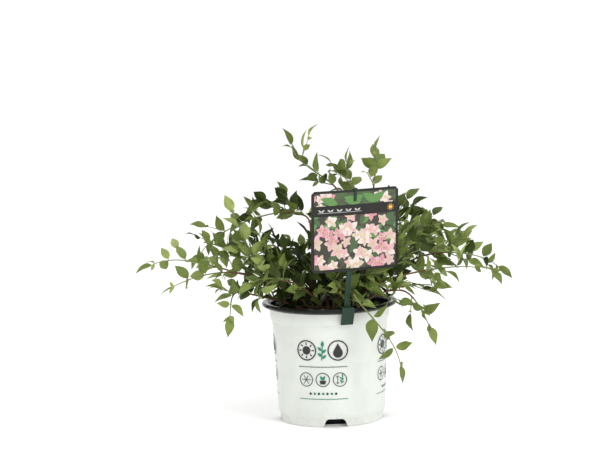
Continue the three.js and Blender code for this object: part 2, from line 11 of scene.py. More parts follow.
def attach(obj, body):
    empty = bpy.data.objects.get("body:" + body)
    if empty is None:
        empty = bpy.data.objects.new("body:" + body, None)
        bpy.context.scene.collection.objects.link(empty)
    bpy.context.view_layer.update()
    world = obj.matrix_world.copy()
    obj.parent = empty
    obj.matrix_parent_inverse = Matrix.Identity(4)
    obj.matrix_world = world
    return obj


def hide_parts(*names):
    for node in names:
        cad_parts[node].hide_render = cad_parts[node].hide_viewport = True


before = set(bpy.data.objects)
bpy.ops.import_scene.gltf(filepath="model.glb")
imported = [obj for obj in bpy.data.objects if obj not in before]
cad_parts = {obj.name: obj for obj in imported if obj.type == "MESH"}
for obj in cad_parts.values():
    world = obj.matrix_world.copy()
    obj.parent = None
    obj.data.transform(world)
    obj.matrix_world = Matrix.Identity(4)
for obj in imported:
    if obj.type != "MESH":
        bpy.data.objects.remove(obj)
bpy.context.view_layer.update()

# Driving dimensions, those of the solids

GAP = 0.3
POT_HEIGHT = 196
POT_WALL = 1.6
POT_FLOOR = 2.5
FOOT = (85, 11)  # radius and height of the foot, and of each step above it
SHOULDER = (87.5, 18)
WAIST = (95.2, 166.5)
COLLAR = (96.8, 168.5)
MOUTH = (99.4, 186)
LIP_RADIUS = 111
LIP_INNER = 96.6
LIP_BEAD = 3.6
NOTCH = {"count": 4, "azimuth": 273.9, "bottom": 41, "top": 27, "height": 13.6}
NOTCH |= {"inner": 72, "outer": 110}
SOIL_HEIGHT = 172
SOIL_EDGE_DROP = 4
CLIP_AZIMUTH = 285.4
CLIP_RADIUS = 104
CLIP_THICK = 1.6
UPRIGHT = {"yaw": 20, "forward": 6, "lean": 3.5, "length": 192}
CARD = {"width": 147, "height": 132, "thick": 1, "corner": 5, "turn": 4.2, "bow": 2.5}
CARD_CELLS = (31, 7)  # points across the card and up it

# The leaves are those of life, and the solids hold fewer and larger ones.
LEAF = {
    "length": 39,
    "half_width": 0.25,
    "widest": 0.4,
    "angle": 54,
    "spread": 16,
    "lift": 0.42,
    "sway": 0.22,
    "roll": 1.35,
    "tries": 7,
    "shrink": 0.055,
    "reach": 43,
}
# slim: radius as a share of the solids'
STEM = {"steps": 6, "flare": 1.5, "slim": 0.86, "sides": 12}
TWIG = {
    "stem_radius": 1.9,
    "hold": 0.25,
    "cap_share": 0.78,
    "pitch": 28,
    "twig_pitch": 24,
    "angle": 46,
    "lift": 0.2,
    "shares": (1, 0.75, 0.55),
    "radii": ((1.35, 0.62), (0.85, 0.55), (0.6, 0.42)),  # of main stem, twig and finer twig
}
STEPS_OF_SPACE = 14
CLEAR = 0.7  # by which a side twig stays nearer to its own stem than to any other mass's
LEAF_CLEAR = 3.2  # least distance of a leaf or finer twig from the middle line of a stem
TWIG_CLEAR = 4.2  # and that of a side twig

# Finer twigs, in the axils of the leaves, which the solids leave out.
FINE = {"longest": 38, "pitch": 18, "angle": 50, "lift": 0.5, "heights": (0, 600)}
FINE_LEAF = 0.88  # size of a leaf on them, as a share of the others

# Short leafy shoots low on the stems, from just over the soil.
LOW = {"longest": 44, "pitch": 20, "angle": 56, "lift": 0.4, "heights": (186, 262)}
LIMB_LEAVES = (186, 330)  # heights between which a stem bears leaves of its own
LOW_CHANCE = 0.7
# Tones of the low shoots are painted shade and light: dark by default, as shade low in the crown, and
# brighter for those at the front, where light falls.
LOW_TONE = 0.8
LOW_PAINTED_LIGHT_TONES = {"front": 5.8, "right_low": 5.2, "right_front": 4.6, "left_low": 3.6, "front_left": 3.2}

# Stems: azimuth and distance of the foot from the pot's axis; azimuth, reach and height of the tip;
# the slopes in degrees that it leaves and arrives at; and its radius at both ends.
STEMS = {
    "left_low": ((232, 34), (195.5, 149, 217), 34, 12, (2.6, 1.6)),
    "left": ((185, 26), (191, 132, 242), 60, 14, (2.7, 1.6)),
    "left_inner": ((195, 8), (205, 62, 244), 76, 48, (2.4, 1.6)),
    "left_back": ((150, 20), (127, 47, 316), 74, 84, (2.9, 1.7)),
    "centre": ((60, 12), (45, 29, 362), 82, 84, (2.8, 1.6)),
    "right_back": ((22, 22), (13, 77, 360), 68, 84, (2.7, 1.6)),
    "right_upper": ((2, 16), (4, 86, 276), 72, 46, (2.6, 1.6)),
    "right": ((342, 26), (352, 146, 264), 58, 22, (2.7, 1.6)),
    "right_front": ((322, 24), (337, 128, 240), 56, 14, (2.5, 1.6)),
    "right_low": ((312, 46), (333, 130, 217), 48, -4, (2.2, 1.4)),
    "front": ((292, 16), (292, 107, 217), 66, -34, (2.2, 1.4)),
    "front_left": ((262, 38), (236, 94, 234), 58, 22, (2.5, 1.6)),
    "back": ((95, 24), (94, 98, 262), 66, 24, (2.7, 1.6)),
    "back_left": ((140, 34), (146, 108, 246), 62, 20, (2.6, 1.6)),
    "back_right": ((48, 32), (42, 104, 252), 62, 22, (2.6, 1.6)),
}

# Masses: the stem that carries it and how far along; azimuth, reach and height of its tip; its
# slopes; its side twigs at each joint, the share of the way that bears them, and the longest;
# the chance of a finer twig in each axil; and its tone, from dark to bright: partly leaf age and
# partly painted shade and light, darker for masses deep inside or at the back and brighter for
# those on top or far out.
MASSES = {
    "left_far_upper": ("left", 1, (187.2, 286, 266), (-22,), (2, 0.4, 44), 0.15, 4.4),
    "left_far_lower": ("left", 0.8, (199.4, 264, 236), (22, -22), (1, 0.4, 44), 0.1, 4.6),
    "left_hanging": ("left_low", 1, (211, 186, 186), (-74,), (1, 0.5, 34), 0.2, 4.6),
    "left_riser": ("left_low", 0.56, (203, 164, 350), (66, 70), (2, 0.6, 46), 0.2, 4.8),
    "left_arch": ("left_back", 1, (167.5, 216, 272), (-58,), (1, 0.7, 40), 0.6, 1.6),
    "left_inner_upper": ("left_inner", 1, (183, 138, 288), (8,), (2, 1, 46), 0.3, 3.8),
    "left_inner_front": ("left_inner", 0.7, (224, 112, 270), (36, 24), (2, 1, 44), 0.35, 3.6),
    "left_core": ("left_inner", 0.52, (236, 48, 290), (62, 70), (2, 1, 40), 0.3, 2.2),
    "left_inner_back": ("left_back", 0.42, (162, 138, 276), (36, 0), (2, 1, 46), 0.2, 2.6),
    "front_left": ("front_left", 1, (228, 180, 246), (-20,), (2, 1, 46), 0.35, 4.2),
    "centre_low": ("front_left", 0.5, (322, 112, 246), (42, -4), (2, 1, 46), 0.5, 4.8),
    "base_centre": ("front", 0.32, (292, 58, 262), (72, 70), (2, 1, 38), 0.5, 1.4),
    "top_left": ("centre", 1, (190, 56, 450), (76,), (1, 1, 32), 0.15, 3.8),
    "top_middle": ("right_back", 0.94, (70, 32, 416), (34, 42), (1, 1, 32), 0.15, 3.6),
    "top_right": ("right_back", 1, (7, 83, 432), (88,), (1, 1, 32), 0, 4.2),
    "right_crown": ("right_upper", 1, (10, 132, 354), (44,), (2, 1, 46), 0.25, 2.6),
    "right_shoulder": ("right_upper", 0.8, (357, 184, 316), (30, -4), (2, 1, 48), 0.3, 2.9),
    "right_upper": ("right", 0.8, (8, 200, 300), (40, 2), (2, 0.5, 44), 0.3, 3),
    "right_far": ("right", 1, (350.6, 276, 252), (-38,), (2, 0.45, 42), 0.5, 4),
    "right_far_lower": ("right_front", 1, (342, 248, 254), (-6,), (1, 0.45, 44), 0.25, 4.2),
    "right_inner": ("right_front", 0.68, (337, 150, 288), (62, 40), (2, 1, 44), 0.3, 2),
    "right_low": ("right_low", 0.8, (346, 172, 222), (20, -6), (1, 1, 40), 0.05, 3.8),
    "right_hanging": ("right_low", 1, (329.5, 184, 164), (-62,), (1, 1, 32), 0, 3.6),
    "front_hanging": ("front", 1, (308, 178, 112), (-80,), (0, 0, 34), 0, 2.6),
    "back": ("back", 1, (88, 240, 262), (-20,), (2, 0.7, 52), 0.4, 4.0),
    "back_low": ("back", 0.66, (116, 198, 212), (18, -50), (1, 1, 44), 0.4, 3.4),
    "back_left": ("back_left", 1, (146, 242, 248), (-24,), (1, 0.7, 50), 0.4, 4.0),
    "back_right": ("back_right", 1, (40, 244, 258), (-22,), (2, 0.7, 52), 0.4, 4.0),
    "back_right_low": ("back_right", 0.7, (64, 202, 212), (18, -52), (1, 1, 44), 0.4, 3.4),
    "right_back_low": ("back_right", 0.45, (16, 200, 232), (22, -34), (1, 1, 44), 0.1, 3.2),
    "centre_back": ("centre", 0.58, (84, 104, 332), (48, 34), (2, 1, 48), 0.4, 2.6),
}

# The chance of each paired leaf in the masses that are more open than the rest: on the main stem,
# and on its twigs.
OPEN = {
    "left_far_upper": (1, 0.45),
    "left_far_lower": (1, 0.7),
    "left_riser": (1, 0.5),
    "left_arch": (1, 0.5),
    "left_inner_upper": (0.8, 0.4),
    "back_left": (0.8, 0.7),
    "back_low": (1, 0.7),
    "base_centre": (0.8, 0.8),
    "top_left": (0.9, 0.7),
    "top_right": (0.9, 0.7),
    "right_far": (1, 0.9),
    "right_far_lower": (1, 0.7),
    "right_low": (0.25, 0.25),
    "right_back_low": (0.4, 0.4),
    "right_hanging": (0.1, 0.4),
}

# Small helpers

MM = 0.001
RAD = math.pi / 180
UP = np.array([0.0, 0.0, 1.0])
HALVES = (0, math.pi)  # turns of the two leaves of a pair


class Stream:
    """A repeatable stream of numbers, the same as the one that the solids grow by."""

    def __init__(self, seed):
        self.state = (seed + 1) * 2654435761 % 2**32

    def between(self, low, high):
        self.state = (self.state * 1664525 + 1013904223) % 2**32
        return low + (high - low) * self.state / 2**32

    def choice(self, count):
        return int(self.between(0, count - 0.01))


def unit(vector):
    return vector / np.linalg.norm(vector)


def polar(azimuth, reach, height):
    a = azimuth * RAD
    return np.array([reach * math.cos(a), reach * math.sin(a), height])


def slope(heading, degrees):
    flat = unit(np.array([heading[0], heading[1], 0.0]))
    return flat * math.cos(degrees * RAD) + UP * math.sin(degrees * RAD)


class Curve:
    """A cubic Bezier curve, or a straight line where it has two points."""

    def __init__(self, *controls):
        self.controls = np.array(controls)

    def point(self, t):
        u = 1 - t
        weights = (u, t) if len(self.controls) == 2 else (u**3, 3 * u * u * t, 3 * u * t * t, t**3)
        return np.array(weights) @ self.controls

    def points(self, shares):
        return np.array([self.point(t) for t in shares])

    def tangent(self, t):
        return unit(self.point(min(1, t + 1e-4)) - self.point(max(0, t - 1e-4)))

    def length(self):
        return np.linalg.norm(np.diff(self.points(np.linspace(0, 1, 201)), axis=0), axis=1).sum()


def limb_curve(start, tip, leave, arrive):
    heading = tip - start
    pull = np.linalg.norm(heading) / 3
    first = start + slope(heading, leave) * pull
    last = tip - slope(heading, arrive) * pull
    return Curve(start, first, last, tip)


class Station:
    """A place on a curve, with its direction and two directions across it."""

    def __init__(self, t, point, tangent, side):
        self.t, self.point, self.tangent, self.side = t, point, tangent, side
        self.cross = np.cross(tangent, side)

    def outward(self, turn):
        return self.side * math.cos(turn) + self.cross * math.sin(turn)

    def branch(self, turn, degrees):
        """The direction at an angle from the curve's own, on one side of it."""
        angle = degrees * RAD
        return self.tangent * math.cos(angle) + self.outward(turn) * math.sin(angle)


def stations(curve, shares):
    """Places along a curve, their sides carried along it without a twist."""
    found = []
    side = None
    for t in shares:
        tangent = curve.tangent(t)
        if side is None:
            side = UP if abs(tangent[2]) < 0.99 else np.array([0.0, 1.0, 0.0])
        side = unit(side - tangent * (side @ tangent))
        found.append(Station(t, curve.point(t), tangent, side))
    return found


def distances(points, lines):
    """The distance of each point from each line, where the lines have equal numbers of points."""
    starts = lines[:, :-1]
    steps = lines[:, 1:] - starts
    away = points[:, None, None] - starts
    along = np.clip((away * steps).sum(-1) / (steps * steps).sum(-1), 0, 1)
    return np.sqrt(((away - along[..., None] * steps) ** 2).sum(-1)).min(-1)


def upright_frame():
    """The tag's frame: across the upright, up it, and out of its front face."""
    yaw, forward, lean = (UPRIGHT[name] * RAD for name in ("yaw", "forward", "lean"))
    face = np.array([math.sin(yaw), -math.cos(yaw), 0.0])
    level = np.array([math.cos(yaw), math.sin(yaw), 0.0])
    rise = UP * math.cos(forward) + face * math.sin(forward)
    up = rise * math.cos(lean) + level * math.sin(lean)
    across = level * math.cos(lean) - rise * math.sin(lean)
    foot = polar(CLIP_AZIMUTH, CLIP_RADIUS, POT_HEIGHT + GAP + CLIP_THICK)
    return foot, np.array([across, up, np.cross(across, up)])


UPRIGHT_FOOT, UPRIGHT_AXES = upright_frame()

# The stems and the spaces of the masses


class Limb:
    """A stem from the soil to where its foliage starts."""

    def __init__(self, row):
        foot, tip, leave, arrive, self.radii = row
        start = polar(foot[0], foot[1], SOIL_HEIGHT + GAP)
        self.curve = limb_curve(start, polar(*tip), leave, arrive)
        self.line = self.curve.points(np.linspace(0, 1, STEM["steps"] + 1))

    def radius(self, t):
        thick, thin = self.radii
        return thick + (thin - thick) * t + STEM["flare"] * math.exp(-t * 14)


def foliage_curve(limb, at, tip, slopes):
    """A mass's own stem: it starts just past its limb's tip, or clear of the limb's side."""
    joint = limb.curve.point(at)
    tangent = limb.curve.tangent(at)
    if at == 1:
        start = joint + tangent * GAP
        curve = limb_curve(start, tip, 0, slopes[0])
        curve.controls[1] = start + tangent * np.linalg.norm(tip - start) * TWIG["hold"]
        return curve
    away = slope(tip - joint, slopes[0])
    cap = TWIG["stem_radius"] * TWIG["cap_share"] * abs(away @ tangent)
    wanted = limb.radius(at) + GAP + cap
    start = joint + away * wanted
    while distances(start[None], limb.line[None])[0, 0] < wanted:
        start = start + away * 0.05
    return limb_curve(start, tip, *slopes)


class Shoot:
    """A stem or twig with its joints, each with the turn of its pair of leaves."""

    def __init__(self, curve, pitch, stream, radii, level):
        self.curve, self.stream, self.radii, self.level = curve, stream, radii, level
        self.count = max(2, math.floor(curve.length() / pitch + 0.5))
        first = stream.between(0, math.pi)
        self.joints = stations(curve, np.linspace(0, 1, self.count + 1))
        self.turns = [first + n * math.pi / 2 for n in range(self.count + 1)]
        self.line = curve.points(np.linspace(0.06, 1, 8))


class Growth:
    """The foliage of one stem, that grows within reach of its line."""

    def __init__(self, name, main, line, seed, twigs, fine, tone):
        self.name, self.main, self.line, self.seed = name, main, line, seed
        self.twig_count, self.until, self.longest = twigs
        self.fine, self.tone = fine, tone
        self.leafy = OPEN.get(name, (1, 1))
        self.shoots, self.leaves = [], []

    def sprays(self):
        """The main stem and its twigs, each of which bears one spray of leaves."""
        return self.shoots if self.main in self.shoots else [self.main, *self.shoots]


class Mass(Growth):
    """One mass of foliage on a stem of its own."""

    def __init__(self, index, name, row):
        on, self.at, tip, slopes, twigs, fine, tone = row
        self.limb = LIMBS[on]
        curve = foliage_curve(self.limb, self.at, polar(*tip), slopes)
        main = Shoot(curve, TWIG["pitch"], Stream(index), TWIG["radii"][0], 0)
        line = curve.points(np.linspace(0, 1, STEPS_OF_SPACE + 1))
        super().__init__(name, main, line, 40 + index, twigs, fine, tone)
        self.shoots.append(main)


class Stool(Growth):
    """The short leafy shoots low on one limb, between the soil and its masses."""

    def __init__(self, index, name, limb):
        main = Shoot(limb.curve, LOW["pitch"], Stream(600 + index), limb.radii, 0)
        tone = LOW_PAINTED_LIGHT_TONES.get(name, LOW_TONE)
        super().__init__(name, main, limb.line, 640 + index, (2, 1, LOW["longest"]), LOW_CHANCE, tone)


LIMBS = {name: Limb(row) for name, row in STEMS.items()}
PLANT = [Mass(i, name, row) for i, (name, row) in enumerate(MASSES.items())]
STOOLS = [Stool(i, name, limb) for i, (name, limb) in enumerate(LIMBS.items())]
LIMB_LINES = np.array([limb.line for limb in LIMBS.values()])


def near_pot(points):
    radius = np.hypot(points[:, 0], points[:, 1])
    height = points[:, 2]
    over = (height > POT_HEIGHT + 2) | (radius > LIP_RADIUS + 2)
    return ~over & ((radius > LIP_INNER - 5) | (height < SOIL_HEIGHT + 2))


def near_tag(points):
    """Nothing grows through the tag or in front of it."""
    across, up, front = UPRIGHT_AXES @ (points - UPRIGHT_FOOT).T
    low, top = UPRIGHT["length"] - CARD["height"] - 16, UPRIGHT["length"] + 8
    side = np.abs(across)
    by_upright = (side < 8) & (front > -9)
    by_card = (up > low) & (side < CARD["width"] / 2 + 6) & (front > -5)
    return (up > -4) & (up < top) & (by_upright | by_card)


def in_reach(points, growth, clear=LEAF_CLEAR):
    """True if the points lie in reach of this growth, clear of the pot, the tag and the stems."""
    own = distances(points, growth.line[None])
    if (own > growth.longest * 0.9 + LEAF["reach"]).any():
        return False
    if near_pot(points).any() or near_tag(points).any():
        return False
    return distances(points, LIMB_LINES).min() >= clear


def in_own_space(points, mass):
    """True if the points are in reach and also nearer to this mass's stem than to any other's."""
    own = distances(points, mass.line[None])[:, 0]
    others = np.array([other.line for other in PLANT if other is not mass])
    nearest = distances(points, others).min(1)
    return bool((nearest >= own + CLEAR).all()) and in_reach(points, mass, clear=TWIG_CLEAR)


# Leaves and twigs

TONES = 8  # from dark to bright: leaf age, and also painted shade and painted light by where a spray sits
TONE_SPREAD = 2.1  # between the sprays of one growth
PAINTED_SHADE_RISE = 1.6  # painted shade: this much brighter for each 100 mm that a spray is farther out than the middle reach, darker inside
MIDDLE_REACH = 170
YOUNG = 0.93  # a leaf below this share of its pair's size is a tone brighter
OLD = 1.05  # and one above this share a tone darker
MOST_LEAVES = 8000
# A leaf's edges and its two halves, by its corners: foot, both sides and tip
EDGES = np.array([(0, 1), (1, 3), (3, 2), (2, 0)]).T
TRIANGLES = np.array([(0, 1, 2), (1, 3, 2)]).T


class Leaf:
    """A leaf's root, direction, upper side and length, and its step from its spray's tone."""

    def __init__(self, root, along, up, length, step=0):
        self.root, self.along, self.up, self.length, self.step = root, along, up, length, step
        half = np.cross(along, up) * LEAF["half_width"] * length
        middle = root + along * LEAF["widest"] * length
        tip = root + along * length - up * 0.1 * length
        foot = root - along * 0.1 + up * 0.35
        self.corners = np.array([foot, middle - half, middle + half, tip])


def upper_side(station, along, stream):
    """A leaf's upper side: towards the sky and its twig's tip, rolled a little about the leaf."""
    up = station.tangent * 0.7 + UP * 0.5
    up = unit(up - along * (up @ along))
    roll = stream.between(-LEAF["roll"], LEAF["roll"])
    return up * math.cos(roll) + np.cross(along, up) * math.sin(roll)


def leaf_on(station, turn, length, stream):
    along = station.branch(turn, LEAF["angle"] + stream.between(-LEAF["spread"], LEAF["spread"]))
    along = unit(along + UP * (LEAF["lift"] + stream.between(-LEAF["sway"], LEAF["sway"])))
    up = upper_side(station, along, stream)
    share = stream.between(0.86, 1.1)
    step = int(share < YOUNG) - int(share > OLD)
    return Leaf(station.point, along, up, length * share, step)


def pierces(starts, ends, leaves):
    """True if a line from one of the starts to its end goes through one of the leaves."""
    a, b = starts[:, :, None], ends[:, :, None]
    p, q, r = (leaves[:, None, corner] for corner in TRIANGLES)
    ray = b - a
    one, two, start = q - p, r - p, a - p
    side = np.cross(ray, two)
    scale = (one * side).sum(-1)
    scale = np.where(np.abs(scale) < 1e-9, np.inf, scale)
    u = (start * side).sum(-1) / scale
    turned = np.cross(start, one)
    v = (ray * turned).sum(-1) / scale
    t = (two * turned).sum(-1) / scale
    inside = (u >= 0) & (v >= 0) & (u + v <= 1)
    return bool((np.isfinite(scale) & inside & (t >= 0) & (t <= 1)).any())


class Crown:
    """All the leaves and shoots so far, which a new leaf must not cross."""

    def __init__(self):
        self.count = 0
        self.corners = np.empty((MOST_LEAVES, 4, 3))
        self.middles = np.empty((MOST_LEAVES, 3))

    def set_shoots(self, shoots):
        self.lines = np.array([shoot.line for shoot in shoots])
        self.line_middles = self.lines.mean(1)
        self.line_reach = np.linalg.norm(self.lines - self.line_middles[:, None], axis=2).max(1)
        for index, shoot in enumerate(shoots):
            shoot.index = index

    def crosses_leaf(self, corners):
        """True if the leaf goes through any that is there, or any through it."""
        away = np.linalg.norm(self.middles[: self.count] - corners[1:3].mean(0), axis=1)
        others = self.corners[: self.count][away < LEAF["length"] * 1.3]
        pairs = ((corners[None], others), (others, corners[None]))
        return any(pierces(*(one[:, ends] for ends in EDGES), two) for one, two in pairs)

    def crosses_shoot(self, corners, own):
        """True if a shoot, other than the leaf's own, goes through the leaf."""
        away = np.linalg.norm(self.line_middles - corners.mean(0), axis=1)
        near = away < self.line_reach + LEAF["length"]
        near[own.index] = False
        lines = self.lines[near]
        return pierces(lines[:, :-1], lines[:, 1:], corners[None])

    def keep(self, leaf, growth, own):
        """Adds the leaf if it stays in reach and crosses nothing."""
        if not in_reach(leaf.corners[1:], growth):
            return False
        if self.crosses_leaf(leaf.corners) or self.crosses_shoot(leaf.corners, own):
            return False
        self.corners[self.count] = leaf.corners
        self.middles[self.count] = leaf.corners[1:3].mean(0)
        self.count += 1
        growth.leaves.append(leaf)
        leaf.tone = min(TONES - 1, max(0, own.tone + leaf.step))
        return True


CROWN = Crown()


def add_twig(growth, start, whole, level):
    """Adds a straight twig, shorter where it would leave its space, or none."""
    clear = in_own_space if level == 1 else in_reach
    for share in TWIG["shares"]:
        twig = Curve(start, start + whole * share)
        if clear(twig.points((1 / 3, 2 / 3, 1)), growth):
            stream = Stream(growth.seed * 50 + len(growth.shoots))
            pitch = TWIG["twig_pitch"] if level == 1 else FINE["pitch"]
            growth.shoots.append(Shoot(twig, pitch, stream, TWIG["radii"][level], level))
            return


def grow_side_twigs(mass):
    """The straight side twigs that the solids hold."""
    stream = Stream(mass.seed)
    main = mass.main
    for n in range(1, main.count):
        if n / main.count > mass.until:
            break
        joint = main.joints[n]
        for k in range(mass.twig_count):
            turn = main.turns[n] + math.pi * (k + 0.5 + n % 2) + stream.between(-0.4, 0.4)
            out = joint.branch(turn, TWIG["angle"] + stream.between(-9, 9))
            length = mass.longest * (1.15 - 0.6 * n / main.count) * stream.between(0.8, 1)
            add_twig(mass, joint.point, unit(out + UP * TWIG["lift"]) * length, 1)


def grow_fine_twigs(growth, bearers, rule):
    """Short twigs in some of the axils along these shoots."""
    stream = Stream(growth.seed * 90)
    low, high = rule["heights"]
    for shoot in bearers:
        for joint, along in zip(shoot.joints[1:-1], shoot.turns[1:]):
            for half in HALVES:
                turn = along + half + stream.between(-0.4, 0.4)
                out = joint.branch(turn, rule["angle"] + stream.between(-14, 14))
                out = unit(out + UP * stream.between(0, rule["lift"]))
                length = rule["longest"] * stream.between(0.5, 1) * (0.8 if shoot.level else 1)
                chosen = stream.between(0, 1) < growth.fine
                if chosen and low < joint.point[2] < high:
                    add_twig(growth, joint.point, out * length, 2)


def grow_pair(growth, shoot, n, size):
    """The leaves of one joint, each turned and made smaller until it finds room."""
    stream = shoot.stream
    chance = growth.leafy[min(1, shoot.level)]
    for half in HALVES:
        if chance < 1 and stream.between(0, 1) > chance:
            continue
        for k in range(LEAF["tries"]):
            turn = shoot.turns[n] + half + stream.between(-0.2, 0.2) * k
            leaf = leaf_on(shoot.joints[n], turn, size * (1 - LEAF["shrink"] * k), stream)
            if CROWN.keep(leaf, growth, shoot):
                break


def grow_tuft(growth, shoot, size):
    """The last leaf, in line with its twig, and the small pair that opens beside it."""
    stream = shoot.stream
    last = shoot.joints[-1]
    before = stations(shoot.curve, (0, 1 - 2.5 / shoot.curve.length()))[1]
    up = upper_side(last, last.tangent, stream)
    CROWN.keep(Leaf(last.point, last.tangent, up, size), growth, shoot)
    for half in HALVES:
        along = before.branch(shoot.turns[-1] + half, stream.between(34, 56))
        up = upper_side(before, along, stream)
        length = size * stream.between(0.42, 0.62)
        CROWN.keep(Leaf(before.point, along, up, length, 1), growth, shoot)


def grow_leaves(growth):
    """A pair of leaves at each joint and a small tuft at each tip."""
    for shoot in growth.shoots:
        full = LEAF["length"] * (FINE_LEAF if shoot.level == 2 else 1)
        sizes = [full * (1.06 - 0.2 * n / shoot.count) for n in range(shoot.count + 1)]
        for n in range(1, shoot.count):
            grow_pair(growth, shoot, n, sizes[n])
        grow_tuft(growth, shoot, sizes[-1])


def grow_limb_leaves(stool):
    """Pairs of leaves on a limb itself, above the soil."""
    low, high = LIMB_LEAVES
    for n in range(1, stool.main.count):
        if low < stool.main.joints[n].point[2] < high:
            grow_pair(stool, stool.main, n, LEAF["length"])


def deal_tones(growth):
    """Each spray takes one tone, brighter towards the outside of the plant: painted shade inside the
    crown, with a random spread.
    """
    stream = Stream(growth.seed * 7)
    for shoot in growth.sprays():
        reach = np.linalg.norm(shoot.curve.point(0.6) - (0, 0, 200))
        # painted shade: sprays nearer the plant's middle take darker tones
        tone = growth.tone + PAINTED_SHADE_RISE * (reach - MIDDLE_REACH) / 100
        tone += stream.between(-TONE_SPREAD, TONE_SPREAD)
        shoot.tone = int(np.clip(round(tone), 0, TONES - 1))


def grow_plant():
    for mass in PLANT:
        grow_side_twigs(mass)
        grow_fine_twigs(mass, list(mass.shoots), FINE)
    for stool in STOOLS:
        grow_fine_twigs(stool, [stool.main], LOW)
    growths = [*PLANT, *STOOLS]
    for growth in growths:
        deal_tones(growth)
    CROWN.set_shoots([shoot for growth in growths for shoot in growth.sprays()])
    for growth in growths:
        grow_leaves(growth)
    for stool in STOOLS:
        grow_limb_leaves(stool)
    return growths


GROWTHS = grow_plant()

# Meshes


def angles_round(count):
    return [2 * math.pi * k / count for k in range(count)]


def spot(x, y, angle, reach):
    """The point at this distance and direction from x, y."""
    return (x + reach * math.cos(angle), y + reach * math.sin(angle))


def placed(name, data):
    made = bpy.data.objects.new(name, data)
    bpy.context.scene.collection.objects.link(made)
    return made


def mesh_object(name, points, faces, materials, slots=None, uvs=None, smooth=True):
    """A mesh in metres from points in millimetres, with each face's material slot."""
    data = bpy.data.meshes.new(name)
    data.from_pydata((np.asarray(points) * MM).tolist(), [], [list(map(int, f)) for f in faces])
    for made in materials:
        data.materials.append(made)
    if slots is not None:
        data.polygons.foreach_set("material_index", np.asarray(slots, dtype=np.int32))
    data.polygons.foreach_set("use_smooth", np.full(len(data.polygons), smooth))
    if uvs is not None:
        corners = np.array([v for f in faces for v in f])
        data.uv_layers.new(name="UVMap").data.foreach_set("uv", np.asarray(uvs)[corners].ravel())
    data.update()
    return placed(name, data)


def quads(rows, columns, loop=False, ring=False, turned=False):
    """The faces between rows of points, where the rows can loop and each can be a ring."""
    faces = []
    for i in range(rows - (not loop)):
        for k in range(columns - (not ring)):
            on, beside = (i + 1) % rows * columns, (k + 1) % columns
            a, b, c, d = i * columns + k, i * columns + beside, on + beside, on + k
            faces.append((a, d, c, b) if turned else (a, b, c, d))
    return faces


POT_SIDES = 160


def lathe(outline):
    """Points and faces of a closed outline of radii and heights, turned about Z."""
    points = [(*spot(0, 0, a, r), z) for a in angles_round(POT_SIDES) for r, z in outline]
    return points, quads(POT_SIDES, len(outline), loop=True, ring=True, turned=True)


def tube(places, radii, sides):
    """Points and faces of a tube through the places, with a radius or a ring of them at each."""
    points = []
    for place, radius in zip(places, radii):
        ring = zip(angles_round(sides), np.broadcast_to(radius, sides))
        points += [place.point + place.outward(a) * r for a, r in ring]
    end = range(len(points) - sides, len(points))
    return points, [*quads(len(places), sides, ring=True), tuple(end)]


class Heap:
    """Many small shapes gathered into one mesh."""

    def __init__(self):
        self.points, self.faces, self.slots = [], [], []

    def add(self, points, faces, slots=0):
        base = len(self.points)
        self.points.extend(points)
        self.faces.extend(tuple(base + v for v in face) for face in faces)
        self.slots.extend(np.broadcast_to(slots, len(faces)))

    def object(self, name, materials, smooth=True):
        return mesh_object(name, self.points, self.faces, materials, self.slots, smooth=smooth)


# Materials


def linear(red, green, blue):
    """A colour as it shows on a screen, from 0 to 255, as the shader's own."""
    values = [c / 255 for c in (red, green, blue)]
    return (*[c / 12.92 if c <= 0.04045 else ((c + 0.055) / 1.055) ** 2.4 for c in values], 1)


def shade(colour, factor):
    return (*[min(1, c * factor) for c in colour[:3]], 1)


